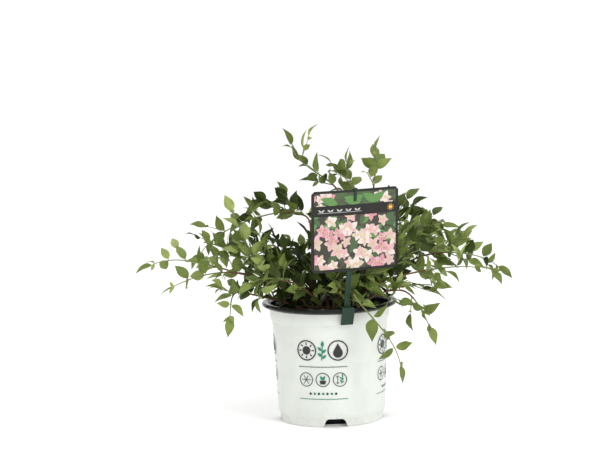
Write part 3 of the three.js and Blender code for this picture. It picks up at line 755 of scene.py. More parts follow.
class Finish:
    """A material built up from its main shader by small steps."""

    def __init__(self, name, colour, roughness, specular=0.5):
        self.made = bpy.data.materials.new(name)
        self.made.use_nodes = True
        self.made.diffuse_color = colour
        self.tree = self.made.node_tree
        self.shader = self.tree.nodes["Principled BSDF"].inputs
        self.shader["Base Color"].default_value = colour
        self.shader["Roughness"].default_value = roughness
        self.shader["Specular IOR Level"].default_value = specular
        self.place = self.node("TexCoord")["Object"]

    def node(self, kind, *inputs, operation=None, **named):
        """The outputs of a new node, with its inputs in their order or by name."""
        node = self.tree.nodes.new(f"ShaderNode{kind}")
        if operation:
            node.operation = operation
        for name, value in [*enumerate(inputs), *named.items()]:
            if isinstance(value, bpy.types.NodeSocket):
                self.tree.links.new(value, node.inputs[name])
            else:
                node.inputs[name].default_value = value
        return node.outputs

    def noise(self, scale, detail=3, distortion=0, stretch=None):
        place = self.place
        if stretch:
            place = self.node("Mapping", Vector=place, Scale=stretch)[0]
        options = {"Scale": scale, "Detail": detail, "Distortion": distortion}
        return self.node("TexNoise", place, **options)["Fac"]

    def math(self, operation, *values):
        return self.node("Math", *values, operation=operation)[0]

    def steps(self, factor, *stops):
        """A colour that changes with a factor, from (position, colour) pairs."""
        colour = self.node("ValToRGB", factor)["Color"]
        elements = colour.node.color_ramp.elements
        while len(elements) < len(stops):
            elements.new(0.5)
        for element, (position, tint) in zip(elements, stops):
            element.position, element.color = position, tint
        return colour

    def shades(self, factor, colour, dark, pale):
        return self.steps(factor, (0.3, shade(colour, dark)), (0.7, shade(colour, pale)))

    def spread(self, *values):
        """A value moved from one range (low, high) to another."""
        return self.node("MapRange", *values)[0]

    def mix(self, share, one, two):
        return self.node("MixRGB", share, one, two)[0]

    def paint(self, colour):
        self.tree.links.new(colour, self.shader["Base Color"])

    def rough(self, *spread):
        self.tree.links.new(self.spread(*spread), self.shader["Roughness"])

    def bump(self, height, distance, strength):
        """The last step, which gives the finished material."""
        relief = self.node("Bump", Height=height, Distance=distance, Strength=strength)
        self.tree.links.new(relief["Normal"], self.shader["Normal"])
        return self.made


# Leaf colours from dark to bright, for leaf age and also as painted shade and painted light in the
# crown.
LEAF_TONES = [linear(36, 47, 13), linear(49, 62, 19), linear(64, 79, 27), linear(80, 96, 37)]
LEAF_TONES += [linear(97, 112, 53), linear(112, 128, 62), linear(129, 142, 78), linear(146, 158, 97)]


def leaf_finish(name, colour, vein_share):
    """Matt green with a soft mottle, a paler midrib and sunken side veins that arc to the edge."""
    finish = Finish(name, colour, 0.55, specular=0.22)
    x, y, _ = finish.node("SeparateXYZ", finish.node("UVMap")["UV"])
    off_rib = finish.math("ABSOLUTE", finish.math("SUBTRACT", x, 0.5))
    along = finish.math("MULTIPLY_ADD", off_rib, -0.42, y)
    wave = finish.math("FRACT", finish.math("MULTIPLY", along, 8.0))
    vein = finish.math("ABSOLUTE", finish.math("SUBTRACT", wave, 0.5))
    groove = finish.spread(vein, 0.0, 0.13, 0.0, 1.0)
    rib = finish.spread(off_rib, 0.0, 0.035, 0.0, 1.0)
    low = finish.math("MULTIPLY", groove, rib)
    mottle = finish.noise(90, detail=4)
    base = finish.steps(mottle, (0.3, shade(colour, 0.84)), (0.72, shade(colour, 1.16)))
    finish.paint(finish.mix(finish.spread(low, 0.0, 1.0, vein_share, 0.0), base, shade(colour, 1.9)))
    finish.rough(mottle, 0.3, 0.7, 0.48, 0.62)
    return finish.bump(finish.math("MULTIPLY_ADD", finish.noise(900), 0.25, low), 0.0003, 0.6)


def twig_finish(name, colour, bright):
    """Young stem: fine lengthwise lines in its colour, and small pores in its roughness and relief."""
    finish = Finish(name, colour, 0.6, specular=0.3)
    lines = finish.noise(420, detail=3, distortion=0.4)
    pores = finish.noise(1500, detail=1)
    finish.paint(finish.steps(lines, (0.3, shade(colour, 0.75)), (0.7, bright)))
    finish.rough(pores, 0.3, 0.7, 0.5, 0.7)
    return finish.bump(finish.math("ADD", lines, pores), 0.0002, 0.7)


def bark_finish():
    """Red-brown bark in thin fibrous strips, split lengthwise, with paler wood under it."""
    finish = Finish("bark", linear(76, 54, 40), 0.8, specular=0.25)
    fibre = finish.noise(160, detail=6, distortion=0.6, stretch=(1.0, 1.0, 0.16))
    patch = finish.noise(55, detail=2)
    both = finish.math("MULTIPLY_ADD", patch, 0.5, finish.math("MULTIPLY", fibre, 0.6))
    colours = (linear(45, 33, 25), linear(85, 61, 46), linear(121, 91, 68), linear(152, 126, 98))
    finish.paint(finish.steps(both, *zip((0.34, 0.5, 0.62, 0.74), colours)))
    finish.rough(fibre, 0.3, 0.7, 0.7, 0.92)
    return finish.bump(fibre, 0.0006, 0.9)


def plastic_finish(name, colour, roughness, grain, relief, specular):
    """Moulded plastic with a faint grain, and light scuffs in its gloss."""
    finish = Finish(name, colour, roughness, specular)
    scuff = finish.noise(38, detail=6, distortion=1.2)
    fine = finish.noise(grain, detail=2)
    finish.paint(finish.shades(scuff, colour, 0.93, 1.05))
    finish.rough(scuff, 0.35, 0.7, roughness * 0.82, roughness * 1.25)
    return finish.bump(fine, relief, 0.6)


def pot_finish():
    """White plastic: a cool tint, water marks low down, fine grain, and short flutes over the foot."""
    white = linear(214, 218, 212)
    finish = Finish("pot_white", white, 0.42)
    x, y, z = finish.node("SeparateXYZ", finish.place)
    flute = finish.math("SINE", finish.math("MULTIPLY", finish.math("ARCTAN2", y, x), 72.0))
    low = finish.spread(z, 0.012, 0.03, 1.0, 0.0)
    uneven = finish.spread(finish.noise(30, detail=2), 0.42, 0.62, 0.0, 1.0)
    flutes = finish.math("MULTIPLY", finish.math("MULTIPLY", flute, low), uneven)
    cloud = finish.noise(22, detail=5, distortion=0.8)
    stain = finish.math("MULTIPLY", finish.noise(120, detail=6), low)
    tint = finish.steps(cloud, (0.3, shade(white, 0.93)), (0.62, white))
    marks = finish.spread(stain, 0.3, 0.7, 0.0, 0.18)
    finish.paint(finish.mix(marks, tint, linear(176, 168, 152)))
    finish.rough(cloud, 0.3, 0.7, 0.36, 0.52)
    relief = finish.math("MULTIPLY_ADD", finish.noise(260, detail=3), 0.3, flutes)
    return finish.bump(relief, 0.0005, 0.7)


def soil_finish(name, dark, pale, scale):
    """Moist crumbly mix: dark peat with lighter fibre."""
    finish = Finish(name, dark, 0.95, specular=0.2)
    crumb = finish.noise(scale, detail=8)
    finish.paint(finish.steps(crumb, (0.35, dark), (0.7, pale)))
    return finish.bump(crumb, 0.002, 1)


def print_finish(name, colour):
    """Ink: an even colour with a slight grain."""
    finish = Finish(name, colour, 0.4)
    grain = finish.noise(700, detail=2)
    finish.paint(finish.shades(grain, colour, 0.94, 1.05))
    return finish.bump(grain, 0.00004, 0.4)


# The pot


def wall_outline():
    """The wall's closed outline, with the small rounds of a moulded pot about its steps."""
    rounds = [
        (FOOT, [(-2.2, -11), (-0.6, -10.5), (0, -9), (0, -1), (0.5, 1.2)]),
        (SHOULDER, [(-0.6, -1.4), (0, 0.8), (0.9, 22), (2.9, 64), (4.9, 106)]),
        (WAIST, [(-0.2, -3), (-0.2, -1.2), (0.7, -0.2)]),
        (COLLAR, [(0.3, -0.9), (0.9, 0.3), (1.3, 6)]),
        (MOUTH, [(-0.7, -5), (0, 0)]),
    ]
    outer = [(r + out, z + up) for (r, z), bends in rounds for out, up in bends]
    inner = [(r - POT_WALL, z) for r, z in reversed(outer) if z > POT_FLOOR]
    return [*outer, *inner, (FOOT[0] - 3, POT_FLOOR), (30, POT_FLOOR), (30, 0)]


def notch_cutters():
    """The gaps in the foot that water runs out of."""
    heap = Heap()
    bottom, top, height = NOTCH["bottom"] / 2, NOTCH["top"] / 2, NOTCH["height"]
    right = [(bottom, -1), (bottom - 5, height - 3), (top - 1, height - 0.6), (top - 4, height)]
    left = [(-s, z) for s, z in reversed(right)]
    corners = [left[-1], *right, *left[:-1]]
    n = len(corners)
    faces = [*quads(2, n, ring=True), tuple(range(n))[::-1], tuple(range(n, 2 * n))]
    for k in range(NOTCH["count"]):
        out = polar(NOTCH["azimuth"] + 360 * k / NOTCH["count"], 1, 0)
        across = np.cross(UP, out)
        reaches = (NOTCH["inner"], NOTCH["outer"])
        heap.add([across * s + UP * z + out * r for r in reaches for s, z in corners], faces)
    return heap.object("notch_cutters", [], smooth=False)


def cut(target, cutter):
    """Takes the cutter's shape out of the target and removes the cutter."""
    modifier = target.modifiers.new("cut", "BOOLEAN")
    modifier.object = cutter
    modifier.solver = "EXACT"
    bpy.context.view_layer.update()
    done = target.evaluated_get(bpy.context.evaluated_depsgraph_get())
    fresh = bpy.data.meshes.new_from_object(done)
    target.modifiers.clear()
    target.data = fresh
    bpy.data.objects.remove(cutter)


def build_pot(white, inner_black):
    pot = mesh_object("pot", *lathe(wall_outline()), [white, inner_black])
    cut(pot, notch_cutters())
    faces = pot.data.polygons
    inside = [f.center.xy.dot(f.normal.xy) < -0.5 * f.center.xy.length for f in faces]
    faces.foreach_set("material_index", [int(found) for found in inside])
    faces.foreach_set("use_smooth", [True] * len(faces))
    pot.data.set_sharp_from_angle(angle=42 * RAD)
    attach(pot, "root")
    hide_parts("pot_wall")


def build_lip(black):
    """The rolled lip: a round outer bead that turns under, and a flat top that falls inwards."""
    bead = [spot(LIP_RADIUS - LIP_BEAD, 192.2, (19 * k - 128) * RAD, LIP_BEAD) for k in range(13)]
    inside = [(LIP_INNER + 5, 195.5), (LIP_INNER + 1.2, 194.3), (LIP_INNER, 192.6)]
    under = [(LIP_INNER, 186.4), (101.5, 186.4), (103.2, 188.2)]
    lip = mesh_object("rolled_lip", *lathe([*bead, *inside, *under]), [black])
    lip.data.set_sharp_from_angle(angle=50 * RAD)
    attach(lip, "root")
    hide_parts("pot_lip")


# The potting mix

SOIL_RINGS = 26
SOIL_SIDES = 110
SOIL_LEVEL_TO = 62  # radius from which the mix falls to its edge
CHIPS = {"count": 1500, "seed": 901, "reach": 90, "sizes": (2.5, 9.5), "slope": 30}


def build_soil(dark, black):
    """The mix from the pot's floor up, its top in crumbs and hollows, over the pot's black foot."""
    wall = WAIST[0] - POT_WALL - 0.4
    points = []
    for r in np.linspace(0, wall, SOIL_RINGS):
        for a in angles_round(SOIL_SIDES):
            x, y = spot(0, 0, a, r)
            lumps = noise.fractal(Vector((x, y, 3)) / 11, 0.8, 2.1, 4) * 2.2
            fall = SOIL_EDGE_DROP * max(0, (r - SOIL_LEVEL_TO) / (wall - SOIL_LEVEL_TO))
            points.append((x, y, SOIL_HEIGHT - 1.4 - fall + lumps * (1 - (r / wall) ** 8)))
    inner = NOTCH["inner"]
    foot = [(SHOULDER[0] - 2, SHOULDER[1]), (inner, NOTCH["height"]), (inner, 2.9)]
    points += [(*spot(0, 0, a, r), z) for r, z in foot for a in angles_round(SOIL_SIDES)]
    faces = quads(SOIL_RINGS + 3, SOIL_SIDES, ring=True, turned=True)
    faces.append(tuple(range(len(points) - SOIL_SIDES, len(points)))[::-1])
    slots = [int(i >= SOIL_RINGS * SOIL_SIDES) for i in range(len(faces))]
    soil = mesh_object("potting_mix", points, faces, [dark, black], slots)
    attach(soil, "root")
    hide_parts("soil")


def chip(stream, size):
    """A splinter of bark: a block with its corners knocked about."""
    corners = [(x, y, z) for x in (-1, 1) for y in (-1, 1) for z in (-1, 1)]
    scale = np.array([size, size * stream.between(0.3, 0.6), size * stream.between(0.12, 0.3)]) / 2
    turn = Euler([stream.between(-0.5, 0.5), stream.between(-0.5, 0.5), stream.between(0, 6.3)])
    points = []
    for corner in corners:
        jitter = [stream.between(0.45, 1.1) for _ in range(3)]
        points.append(turn.to_matrix() @ Vector(scale * corner * jitter))
    faces = [(0, 1, 3, 2), (4, 6, 7, 5), (0, 4, 5, 1), (2, 3, 7, 6), (0, 2, 6, 4), (1, 5, 7, 3)]
    return points, faces


def build_chips(materials):
    stream = Stream(CHIPS["seed"])
    heap = Heap()
    for _ in range(CHIPS["count"]):
        r = CHIPS["reach"] * math.sqrt(stream.between(0, 1))
        a = stream.between(0, 2 * math.pi)
        points, faces = chip(stream, stream.between(*CHIPS["sizes"]))
        drop = SOIL_EDGE_DROP * max(0, (r - SOIL_LEVEL_TO) / CHIPS["slope"])
        z = SOIL_HEIGHT - drop + stream.between(-1.6, 0.8)
        place = Vector((*spot(0, 0, a, r), z))
        heap.add([p + place for p in points], faces, stream.choice(len(materials)))
    chips = heap.object("bark_chips", materials, smooth=False)
    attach(chips, "root")


# Flat art, for the prints on the pot and the card

PRINT_AZIMUTHS = (261.4, 351.4, 441.4, 531.4)
PRINT_LIFT = 0.35
STROKE_STEP = 4
PANEL_STEP = 6


def circle(x, y, radius, sides):
    return [spot(x, y, a, radius) for a in angles_round(sides)]


class Art:
    """Flat shapes in millimetres, each at its own small height over the surface it is printed on."""

    def __init__(self, place, heap):
        self.place, self.heap = place, heap
        self.window = None
        self.height = 0.1

    def add(self, flat, faces, slot):
        self.heap.add([self.place(u, v, self.height) for u, v in flat], faces, slot)

    def fan(self, x, y, rim, slot):
        """A shape round a middle point, in two rings so that it follows a curved surface."""
        n = len(rim)
        flat = np.array([(x, y), *[((x + u) / 2, (y + v) / 2) for u, v in rim], *rim])
        if self.window:
            flat = np.clip(flat, *self.window)
        middle = [(0, 1 + i, 1 + (i + 1) % n) for i in range(n)]
        outer = np.array(quads(2, n, ring=True, turned=True)) + 1
        self.add(flat, [*middle, *outer], slot)

    def stroke(self, path, width, slot):
        """A line of even width through the points, cut into short steps."""
        places = []
        for a, b in zip(path, path[1:]):
            count = math.ceil(math.dist(a, b) / STROKE_STEP)
            places.extend(np.linspace(a, b, count, endpoint=False))
        places = np.array([*places, path[-1]])
        runs = np.vstack([places[1:], places[-1:]]) - np.vstack([places[:1], places[:-1]])
        sides = runs[:, ::-1] * (-1, 1) * width / 2 / np.linalg.norm(runs, axis=1)[:, None]
        edges = np.stack([places + sides, places - sides], 1)
        self.add(edges.reshape(-1, 2), quads(len(places), 2), slot)

    def disc(self, x, y, radius, slot, sides=28):
        self.fan(x, y, circle(x, y, radius, sides), slot)

    def ring(self, x, y, radius, width, slot):
        path = circle(x, y, radius, 48)
        self.stroke([*path, *path[:2]], width, slot)

    def rays(self, x, y, count, start, end, width, slot):
        for a in angles_round(count):
            self.stroke([spot(x, y, a, start), spot(x, y, a, end)], width, slot)

    def blade(self, x, y, length, angle, share, slot):
        """A pointed leaf or petal from its root at x, y."""
        side = [(0, 0), (0.16, 0.55), (0.4, 1), (0.68, 0.78), (0.88, 0.34), (1, 0)]
        rim = []
        for t, w in [*side, *[(t, -w) for t, w in side[-2:0:-1]]]:
            middle = spot(x, y, angle, t * length)
            rim.append(spot(*middle, angle + math.pi / 2, w * length * share / 2))
        self.fan(*spot(x, y, angle, 0.45 * length), rim, slot)

    def panel(self, low, high, slot):
        """A plain rectangle in cells, so that it follows a curved surface."""
        spans = [(a, b, round((b - a) / PANEL_STEP) + 1) for a, b in zip(low, high)]
        xs, ys = (np.linspace(*span) for span in spans)
        self.add([(x, y) for y in ys for x in xs], quads(len(ys), len(xs)), slot)


def pot_print_place(azimuth):
    """Wraps a print round the pot: u to its right as seen from outside, v its height."""
    radii, heights = zip((FOOT[0], 0), FOOT, SHOULDER, WAIST)

    def place(u, v, height):
        r = np.interp(v, heights, radii) + PRINT_LIFT + height
        return (*spot(0, 0, azimuth * RAD + u / r, r), v)

    return place


def sun_sign(art, x, y, radius, ink):
    art.ring(x, y, radius, 2, ink)
    art.disc(x, y, radius * 0.44, ink)
    art.rays(x, y, 8, radius * 0.57, radius * 0.81, 2, ink)


def drop_sign(art, x, y, radius, ink):
    art.ring(x, y, radius, 2, ink)
    low = y - radius * 0.26
    bowl = [spot(x, low, a, radius * 0.5) for a in np.linspace(0.6, -3.74, 18)]
    art.fan(x, y - radius * 0.2, [(x, y + radius * 0.75), *bowl], ink)


def sprig_sign(art, x, y, height, ink):
    art.stroke([(x - 1, y), (x, y + height * 0.4), (x + 1, y + height)], 1.4, ink)
    for share, side in ((0.12, 1), (0.26, -1), (0.5, 1), (0.66, -1)):
        art.blade(x, y + height * share, height * 0.38, (90 - 50 * side) * RAD, 0.5, ink)
    art.blade(x + 1, y + height * 0.9, height * 0.44, 88 * RAD, 0.5, ink)


def frost_sign(art, x, y, radius, ink):
    art.ring(x, y, radius, 1.2, ink)
    art.rays(x, y, 6, 0, radius * 0.7, 1, ink)


def pot_sign(art, x, y, radius, ink, green):
    art.ring(x, y, radius, 1.2, ink)
    bowl = [(-0.48, -0.1), (-0.36, -0.67), (0.36, -0.67), (0.48, -0.1)]
    art.fan(x, y - radius * 0.3, [(x + radius * u, y + radius * v) for u, v in bowl], ink)
    for angle in (60, 120):
        art.blade(x, y - radius * 0.06, radius * 0.74, angle * RAD, 0.5, green)


def height_sign(art, x, y, radius, ink, green):
    """An arrow up and down beside a sprig."""
    art.ring(x, y, radius, 1.2, ink)
    reach, half = radius * 0.62, radius * 0.22
    left = x - radius * 0.34
    art.stroke([(left, y - reach), (left, y + reach)], 1, ink)
    for end in (-reach, reach):
        back = y + end * 0.6
        art.stroke([(left - half, back), (left, y + end), (left + half, back)], 1, ink)
    sprig_sign(art, x + radius * 0.28, y - reach, radius * 1.1, green)


def draw_care_signs(art):
    """General signs for a garden plant's care in two rows, with rules and a row of dots."""
    ink, green = 0, 1
    sun_sign(art, -26, 127, 15.8, ink)
    sprig_sign(art, 0, 111, 24, green)
    drop_sign(art, 26, 127, 15.8, ink)
    art.stroke([(-41, 100), (41, 100)], 1, ink)
    frost_sign(art, -28, 79, 11, ink)
    pot_sign(art, 0, 79, 11, ink, green)
    height_sign(art, 28, 79, 11, ink, green)
    for k in range(7):
        art.disc(-21 + 7 * k, 56, 2, green if k % 2 else ink, sides=16)
    art.stroke([(-41, 47), (41, 47)], 1, green)


def build_pot_prints(materials):
    heap = Heap()
    for azimuth in PRINT_AZIMUTHS:
        draw_care_signs(Art(pot_print_place(azimuth), heap))
    prints = heap.object("pot_prints", materials)
    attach(prints, "root")


# The tag's card


def card_place(u, v, height):
    """u across the card, v up it from its foot, on its slightly bowed front."""
    turn = CARD["turn"] * RAD
    down = v - CARD["height"]
    across = u * math.cos(turn) - down * math.sin(turn)
    up = u * math.sin(turn) + down * math.cos(turn) + UPRIGHT["length"] - GAP
    bow = CARD["bow"] * (u / (CARD["width"] / 2)) ** 2
    out = GAP + CARD["thick"] - bow + height
    return UPRIGHT_FOOT + np.array([across, up, out]) @ UPRIGHT_AXES


def card_back_place(u, v, height):
    """The same on the card's back, u to the right as seen from behind."""
    return card_place(-u, v, -CARD["thick"] - height)


def build_card(charcoal):
    """The card's body: a bowed plate with round corners."""
    half, height, corner = CARD["width"] / 2, CARD["height"], CARD["corner"]
    columns, rows = CARD_CELLS
    points = []
    for layer in (0, -CARD["thick"]):
        for u in np.linspace(-half, half, columns):
            edge = max(0, corner - (half - abs(u)))
            inset = corner - math.sqrt(max(0, corner**2 - edge**2))
            points += [card_place(u, v, layer) for v in np.linspace(inset, height - inset, rows)]
    n = columns * rows
    grid = np.arange(n).reshape(columns, rows)
    rim = [*grid[:, 0], *grid[-1, 1:], *grid[-2::-1, -1], *grid[0, -2:0:-1]]
    sides = [(a, a + n, b + n, b) for a, b in zip(rim, [*rim[1:], rim[0]])]
    back = np.array(quads(columns, rows)) + n
    faces = [*quads(columns, rows, turned=True), *back, *sides]
    card = mesh_object("card", points, faces, [charcoal])
    card.data.set_sharp_from_angle(angle=40 * RAD)
    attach(card, "root")
    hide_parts("tag_card")


CARD_INKS = {
    "deep": (50, 47, 38),
    "shade": (66, 68, 48),
    "leaf": (62, 88, 52),
    "leaf_light": (84, 128, 64),
    "petal_white": (214, 200, 194),
    "petal_cream": (196, 180, 158),
    "petal_blush": (206, 166, 168),
    "petal_pink": (196, 138, 148),
    "petal_rose": (166, 92, 108),
    "heart": (186, 176, 100),
    "sun": (222, 168, 70),
    "pale": (186, 186, 182),
}
INK = {name: i for i, name in enumerate(CARD_INKS)}

# The tints of a blossom: two for its petals and one for the streak in each.
PETALS = [
    ("petal_white", "petal_cream", "petal_blush"),
    ("petal_cream", "petal_blush", "petal_pink"),
    ("petal_blush", "petal_white", "petal_pink"),
    ("petal_pink", "petal_blush", "petal_rose"),
]
LEAF_INKS = ("shade", "leaf", "shade", "leaf", "leaf_light")
ART_SEED = 77
SHEET = 0.004  # by which each shape of a picture lies over the one before


def blossom(art, x, y, radius, stream):
    """An open five-petalled flower, each petal in its own fifth so that none overlaps the next."""
    first = stream.between(0, 2 * math.pi)
    tints = [INK[name] for name in PETALS[stream.choice(len(PETALS))]]
    fifths = [first + a for a in angles_round(5)]
    for k, middle in enumerate(fifths):
        reach = radius * stream.between(0.8, 1.12)
        art.blade(x, y, reach, middle, stream.between(0.58, 0.76), tints[k % 2])
        art.height += SHEET / 2
    for middle in fifths:
        art.blade(x, y, radius * 0.55, middle, 0.16, tints[2])
    art.height += SHEET
    art.disc(x, y, radius * 0.15, INK["heart"], sides=10)
    art.height += SHEET


def picture(art, low, high, leaves, clusters, radius, stream):
    """A bed of leaves with blossoms in loose clusters, cut off at the picture's edges."""
    art.window = (low, high)
    art.panel(low, high, INK["deep"])
    art.height += 0.02
    for _ in range(leaves):
        x, y = (stream.between(a, b) for a, b in zip(low, high))
        tint = INK[LEAF_INKS[stream.choice(len(LEAF_INKS))]]
        length = stream.between(16, 34)
        art.blade(x, y, length, stream.between(0, 2 * math.pi), 0.42, tint)
        art.height += SHEET
    for x, y, count in clusters:
        for k in range(count):
            a, r = 2.4 * k + stream.between(0, 0.8), radius * 0.95 * math.sqrt(k)
            blossom(art, *spot(x, y, a, r), radius * stream.between(0.8, 1.15), stream)


def draw_card_back(art):
    """Care signs and plain rules on a pale panel, on both sides of the upright."""
    ink, green = INK["deep"], INK["leaf"]
    art.panel((-66, 8), (66, 124), INK["pale"])
    art.height += 0.04
    sun_sign(art, -38, 98, 14, ink)
    drop_sign(art, 38, 98, 14, ink)
    pot_sign(art, -38, 28, 12, ink, green)
    height_sign(art, 38, 28, 12, ink, green)
    for x in (-38, 38):
        for y in (75, 68, 61, 54, 47):
            art.stroke([(x - 22, y), (x + 22, y)], 0.8, ink)


def build_card_art(materials):
    """A narrow strip of leaves and a large picture of blossoms, with a plain band between them."""
    half, height = CARD["width"] / 2 - 4.6, CARD["height"]
    stream = Stream(ART_SEED)
    heap = Heap()
    art = Art(card_place, heap)
    clusters = [(-46, 62, 6), (-8, 70, 6), (34, 64, 8), (56, 30, 4), (-20, 28, 7)]
    clusters += [(20, 24, 6), (-60, 20, 3)]
    picture(art, (-half, 5), (half, 91), 80, clusters, 12.5, stream)
    art.height = 0.1
    strip = [(-60, 119, 5), (-42, 121, 2), (50, 116, 3)]
    picture(art, (-half, 108), (half, height - 4), 46, strip, 10, stream)
    for x, turn in ((-14, 24), (8, 158), (24, 30), (38, 150), (-30, 160)):
        art.blade(x, 110, 30, turn * RAD, 0.46, INK["leaf_light"])
        art.height += SHEET
    art.window = None
    art.height = 0.12
    art.disc(half - 9, 99.5, 3.3, INK["sun"])
    art.rays(half - 9, 99.5, 10, 4.3, 5.8, 0.8, INK["sun"])
    art.stroke([(-half + 6, 96.6), (10, 96.6)], 0.6, INK["pale"])
    for k in range(5):
        for turn in (38, 142):
            art.blade(-half + 12 + 15 * k, 98, 6.4, turn * RAD, 0.42, INK["pale"])
    draw_card_back(Art(card_back_place, heap))
    made = heap.object("card_art", materials, smooth=False)
    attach(made, "root")


# The plant's pieces


def bark_ring(index, t, radius):
    """Radii round a stem: lengthwise ridges, and a swelling at each joint."""
    angles = np.array(angles_round(STEM["sides"]))
    ridges = 0.05 * np.sin(3 * angles + 9 * t + index) + 0.035 * np.sin(5 * angles - 14 * t)
    crumple = [noise.noise(Vector((*spot(0, 0, a, 1.6), t * 40 + index))) for a in angles]
    joint = 0.14 * math.exp(-(((t * 6.5) % 1 - 0.5) / 0.07) ** 2)
    return radius * (1 + ridges + 0.06 * np.array(crumple) + joint)


def build_stems(bark):
    heap = Heap()
    sides = STEM["sides"]
    for index, limb in enumerate(LIMBS.values()):
        count = max(12, round(limb.curve.length() / 3))
        places = stations(limb.curve, np.linspace(0, 1, count + 1))
        radii = [bark_ring(index, s.t, STEM["slim"] * limb.radius(s.t)) for s in places]
        points, faces = tube(places, radii, sides)
        foot = [p + places[0].tangent * (SOIL_HEIGHT - 2 - p[2]) for p in points[:sides]]
        heap.add([*foot, *points[sides:]], faces)
    stems = heap.object("stems", [bark])
    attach(stems, "root")
    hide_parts(*[f"stem_{name}" for name in STEMS])


def shoot_places(shoot, growth):
    """Rings along a shoot, the first of them inside the limb that it grows from."""
    count = max(3, round(shoot.curve.length() / (6 if shoot.level else 4)))
    places = stations(shoot.curve, np.linspace(0, 1, count + 1))
    if not shoot.level:
        limb, first = growth.limb.curve, places[0]
        inside = 1.5 if growth.at == 1 else 0
        joint = limb.point(growth.at) - limb.tangent(growth.at) * inside
        places.insert(0, Station(0, joint, first.tangent, first.side))
    return places


def add_shoot(heap, shoot, growth):
    """A tapering tube that swells a little at each joint, brown at first and then green."""
    places = shoot_places(shoot, growth)
    radii = []
    for s in places:
        joint = 0.22 * math.exp(-(((s.t * shoot.count + 0.5) % 1 - 0.5) * shoot.count / 3) ** 2)
        radii.append(np.interp(s.t, (0, 1), shoot.radii) * (1 + joint))
    points, faces = tube(places, radii, (8, 6, 5)[shoot.level])
    brown = 0 if shoot.level or not growth.twig_count else 0.4 * len(faces)
    heap.add(points, faces, [int(i >= brown) for i in range(len(faces))])


PETIOLE = 3.4  # length of a leaf's stalk
BLADE_THICK = 0.22


def add_petiole(heap, leaf):
    side = unit(np.cross(leaf.along, leaf.up))
    end = leaf.root + leaf.along * (PETIOLE + 0.6) * leaf.length / LEAF["length"]
    places = [Station(t, p, leaf.along, side) for t, p in ((0, leaf.root), (1, end))]
    heap.add(*tube(places, (0.5, 0.34), 4), 1)


def build_twigs(materials):
    heap = Heap()
    for growth in GROWTHS:
        for shoot in growth.shoots:
            add_shoot(heap, shoot, growth)
        for leaf in growth.leaves:
            add_petiole(heap, leaf)
    twigs = heap.object("twigs", materials)
    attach(twigs, "root")
    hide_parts(*[f"foliage_{name}" for name in MASSES])


# The blade's outline: shares of its length from root to tip, and of its half width there.
BLADE = [(0, 0.05), (0.06, 0.42), (0.15, 0.76), (0.28, 0.97), (0.42, 1)]
BLADE += [(0.57, 0.86), (0.71, 0.6), (0.83, 0.34), (0.93, 0.13), (1, 0.01)]
ACROSS = (-1, -0.5, 0, 0.5, 1)
SIDES = ("right", "back", "left", "front")
LEAF_SEED = 5000


def blade_points(leaf, stream):
    """A blade that is folded a little along its midrib, bowed to its tip and waved at its edge."""
    start = leaf.root + leaf.along * PETIOLE * leaf.length / LEAF["length"]
    length = leaf.length * (1 - PETIOLE / LEAF["length"])
    across = np.cross(leaf.along, leaf.up)
    fold = stream.between(0.25, 0.85)
    droop = stream.between(0.05, 0.34)
    bend = stream.between(-0.12, 0.12)
    wave = stream.between(0.03, 0.1)
    phase = stream.between(0, 6.3)
    half = LEAF["half_width"] * length * stream.between(0.92, 1.14)
    points = []
    for t, w in BLADE:
        rib = start + leaf.along * t * length * (1 - 0.1 * droop * t)
        rib = rib + leaf.up * length * (0.05 * math.sin(math.pi * t) - droop * t * t)
        rib = rib + across * bend * length * t * t
        for v in ACROSS:
            ripple = wave * math.sin(9 * t + phase + v) * abs(v)
            rise = half * w * (fold * abs(v) - 0.3 * v * v + ripple)
            points.append(rib + across * v * half * w + leaf.up * rise)
    return np.array(points)


def side_of(growth):
    """The side of the plant that a growth lies on."""
    x, y, _ = growth.line[-1]
    return SIDES[round(math.atan2(y, x) / (math.pi / 2)) % 4]


def build_leaves(side, growths, upper, under):
    """The blades of one side, each an upper sheet in its spray's tone and a paler sheet under it."""
    sheet = np.array(quads(len(BLADE), len(ACROSS)))
    grid = [(t, v) for t, _ in BLADE for v in ACROSS]
    flat = np.array([((v + 1) / 2, t) for t, v in grid])
    body = np.array([BLADE_THICK * (1 - abs(v)) for _, v in grid])[:, None]
    points, faces, slots, uvs = [], [], [], []
    for n, leaf in enumerate(leaf for growth in growths for leaf in growth.leaves):
        top = blade_points(leaf, Stream(LEAF_SEED + n))
        base = 2 * n * len(grid)
        points += [top, top - leaf.up * body]
        faces += [sheet + base, sheet[:, ::-1] + base + len(grid)]
        # the under sheet follows the upper tone in three steps, painted shade and light included
        slots += [leaf.tone] * len(sheet) + [len(upper) + leaf.tone // 3] * len(sheet)
        uvs += [flat, flat]
    shape = [np.concatenate(part) for part in (points, faces)]
    made = mesh_object(f"leaves_{side}", *shape, [*upper, *under], slots, np.concatenate(uvs))
    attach(made, "root")
    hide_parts(*[f"foliage_{growth.name}" for growth in growths if isinstance(growth, Mass)])


# Stage, light and camera

CAMERA = {"away": 3.6, "height": 0.732, "pitch": 6.77, "yaw": -0.72, "roll": 1.48, "focal": 2217}
IMAGE_WIDTH = 600
SENSOR_WIDTH = 36
FLOOR_REACH = 70000


def build_stage():
    finish = Finish("floor_white", (0.98, 0.98, 0.975, 1), 0.6)
    tones = ((0.3, (0.975, 0.975, 0.97, 1)), (0.7, (0.985, 0.985, 0.98, 1)))
    finish.paint(finish.steps(finish.noise(3, detail=2), *tones))
    corners = np.array([(-1, -1, 0), (1, -1, 0), (1, 1, 0), (-1, 1, 0)]) * FLOOR_REACH
    floor = mesh_object("floor", corners, [(0, 1, 2, 3)], [finish.made])


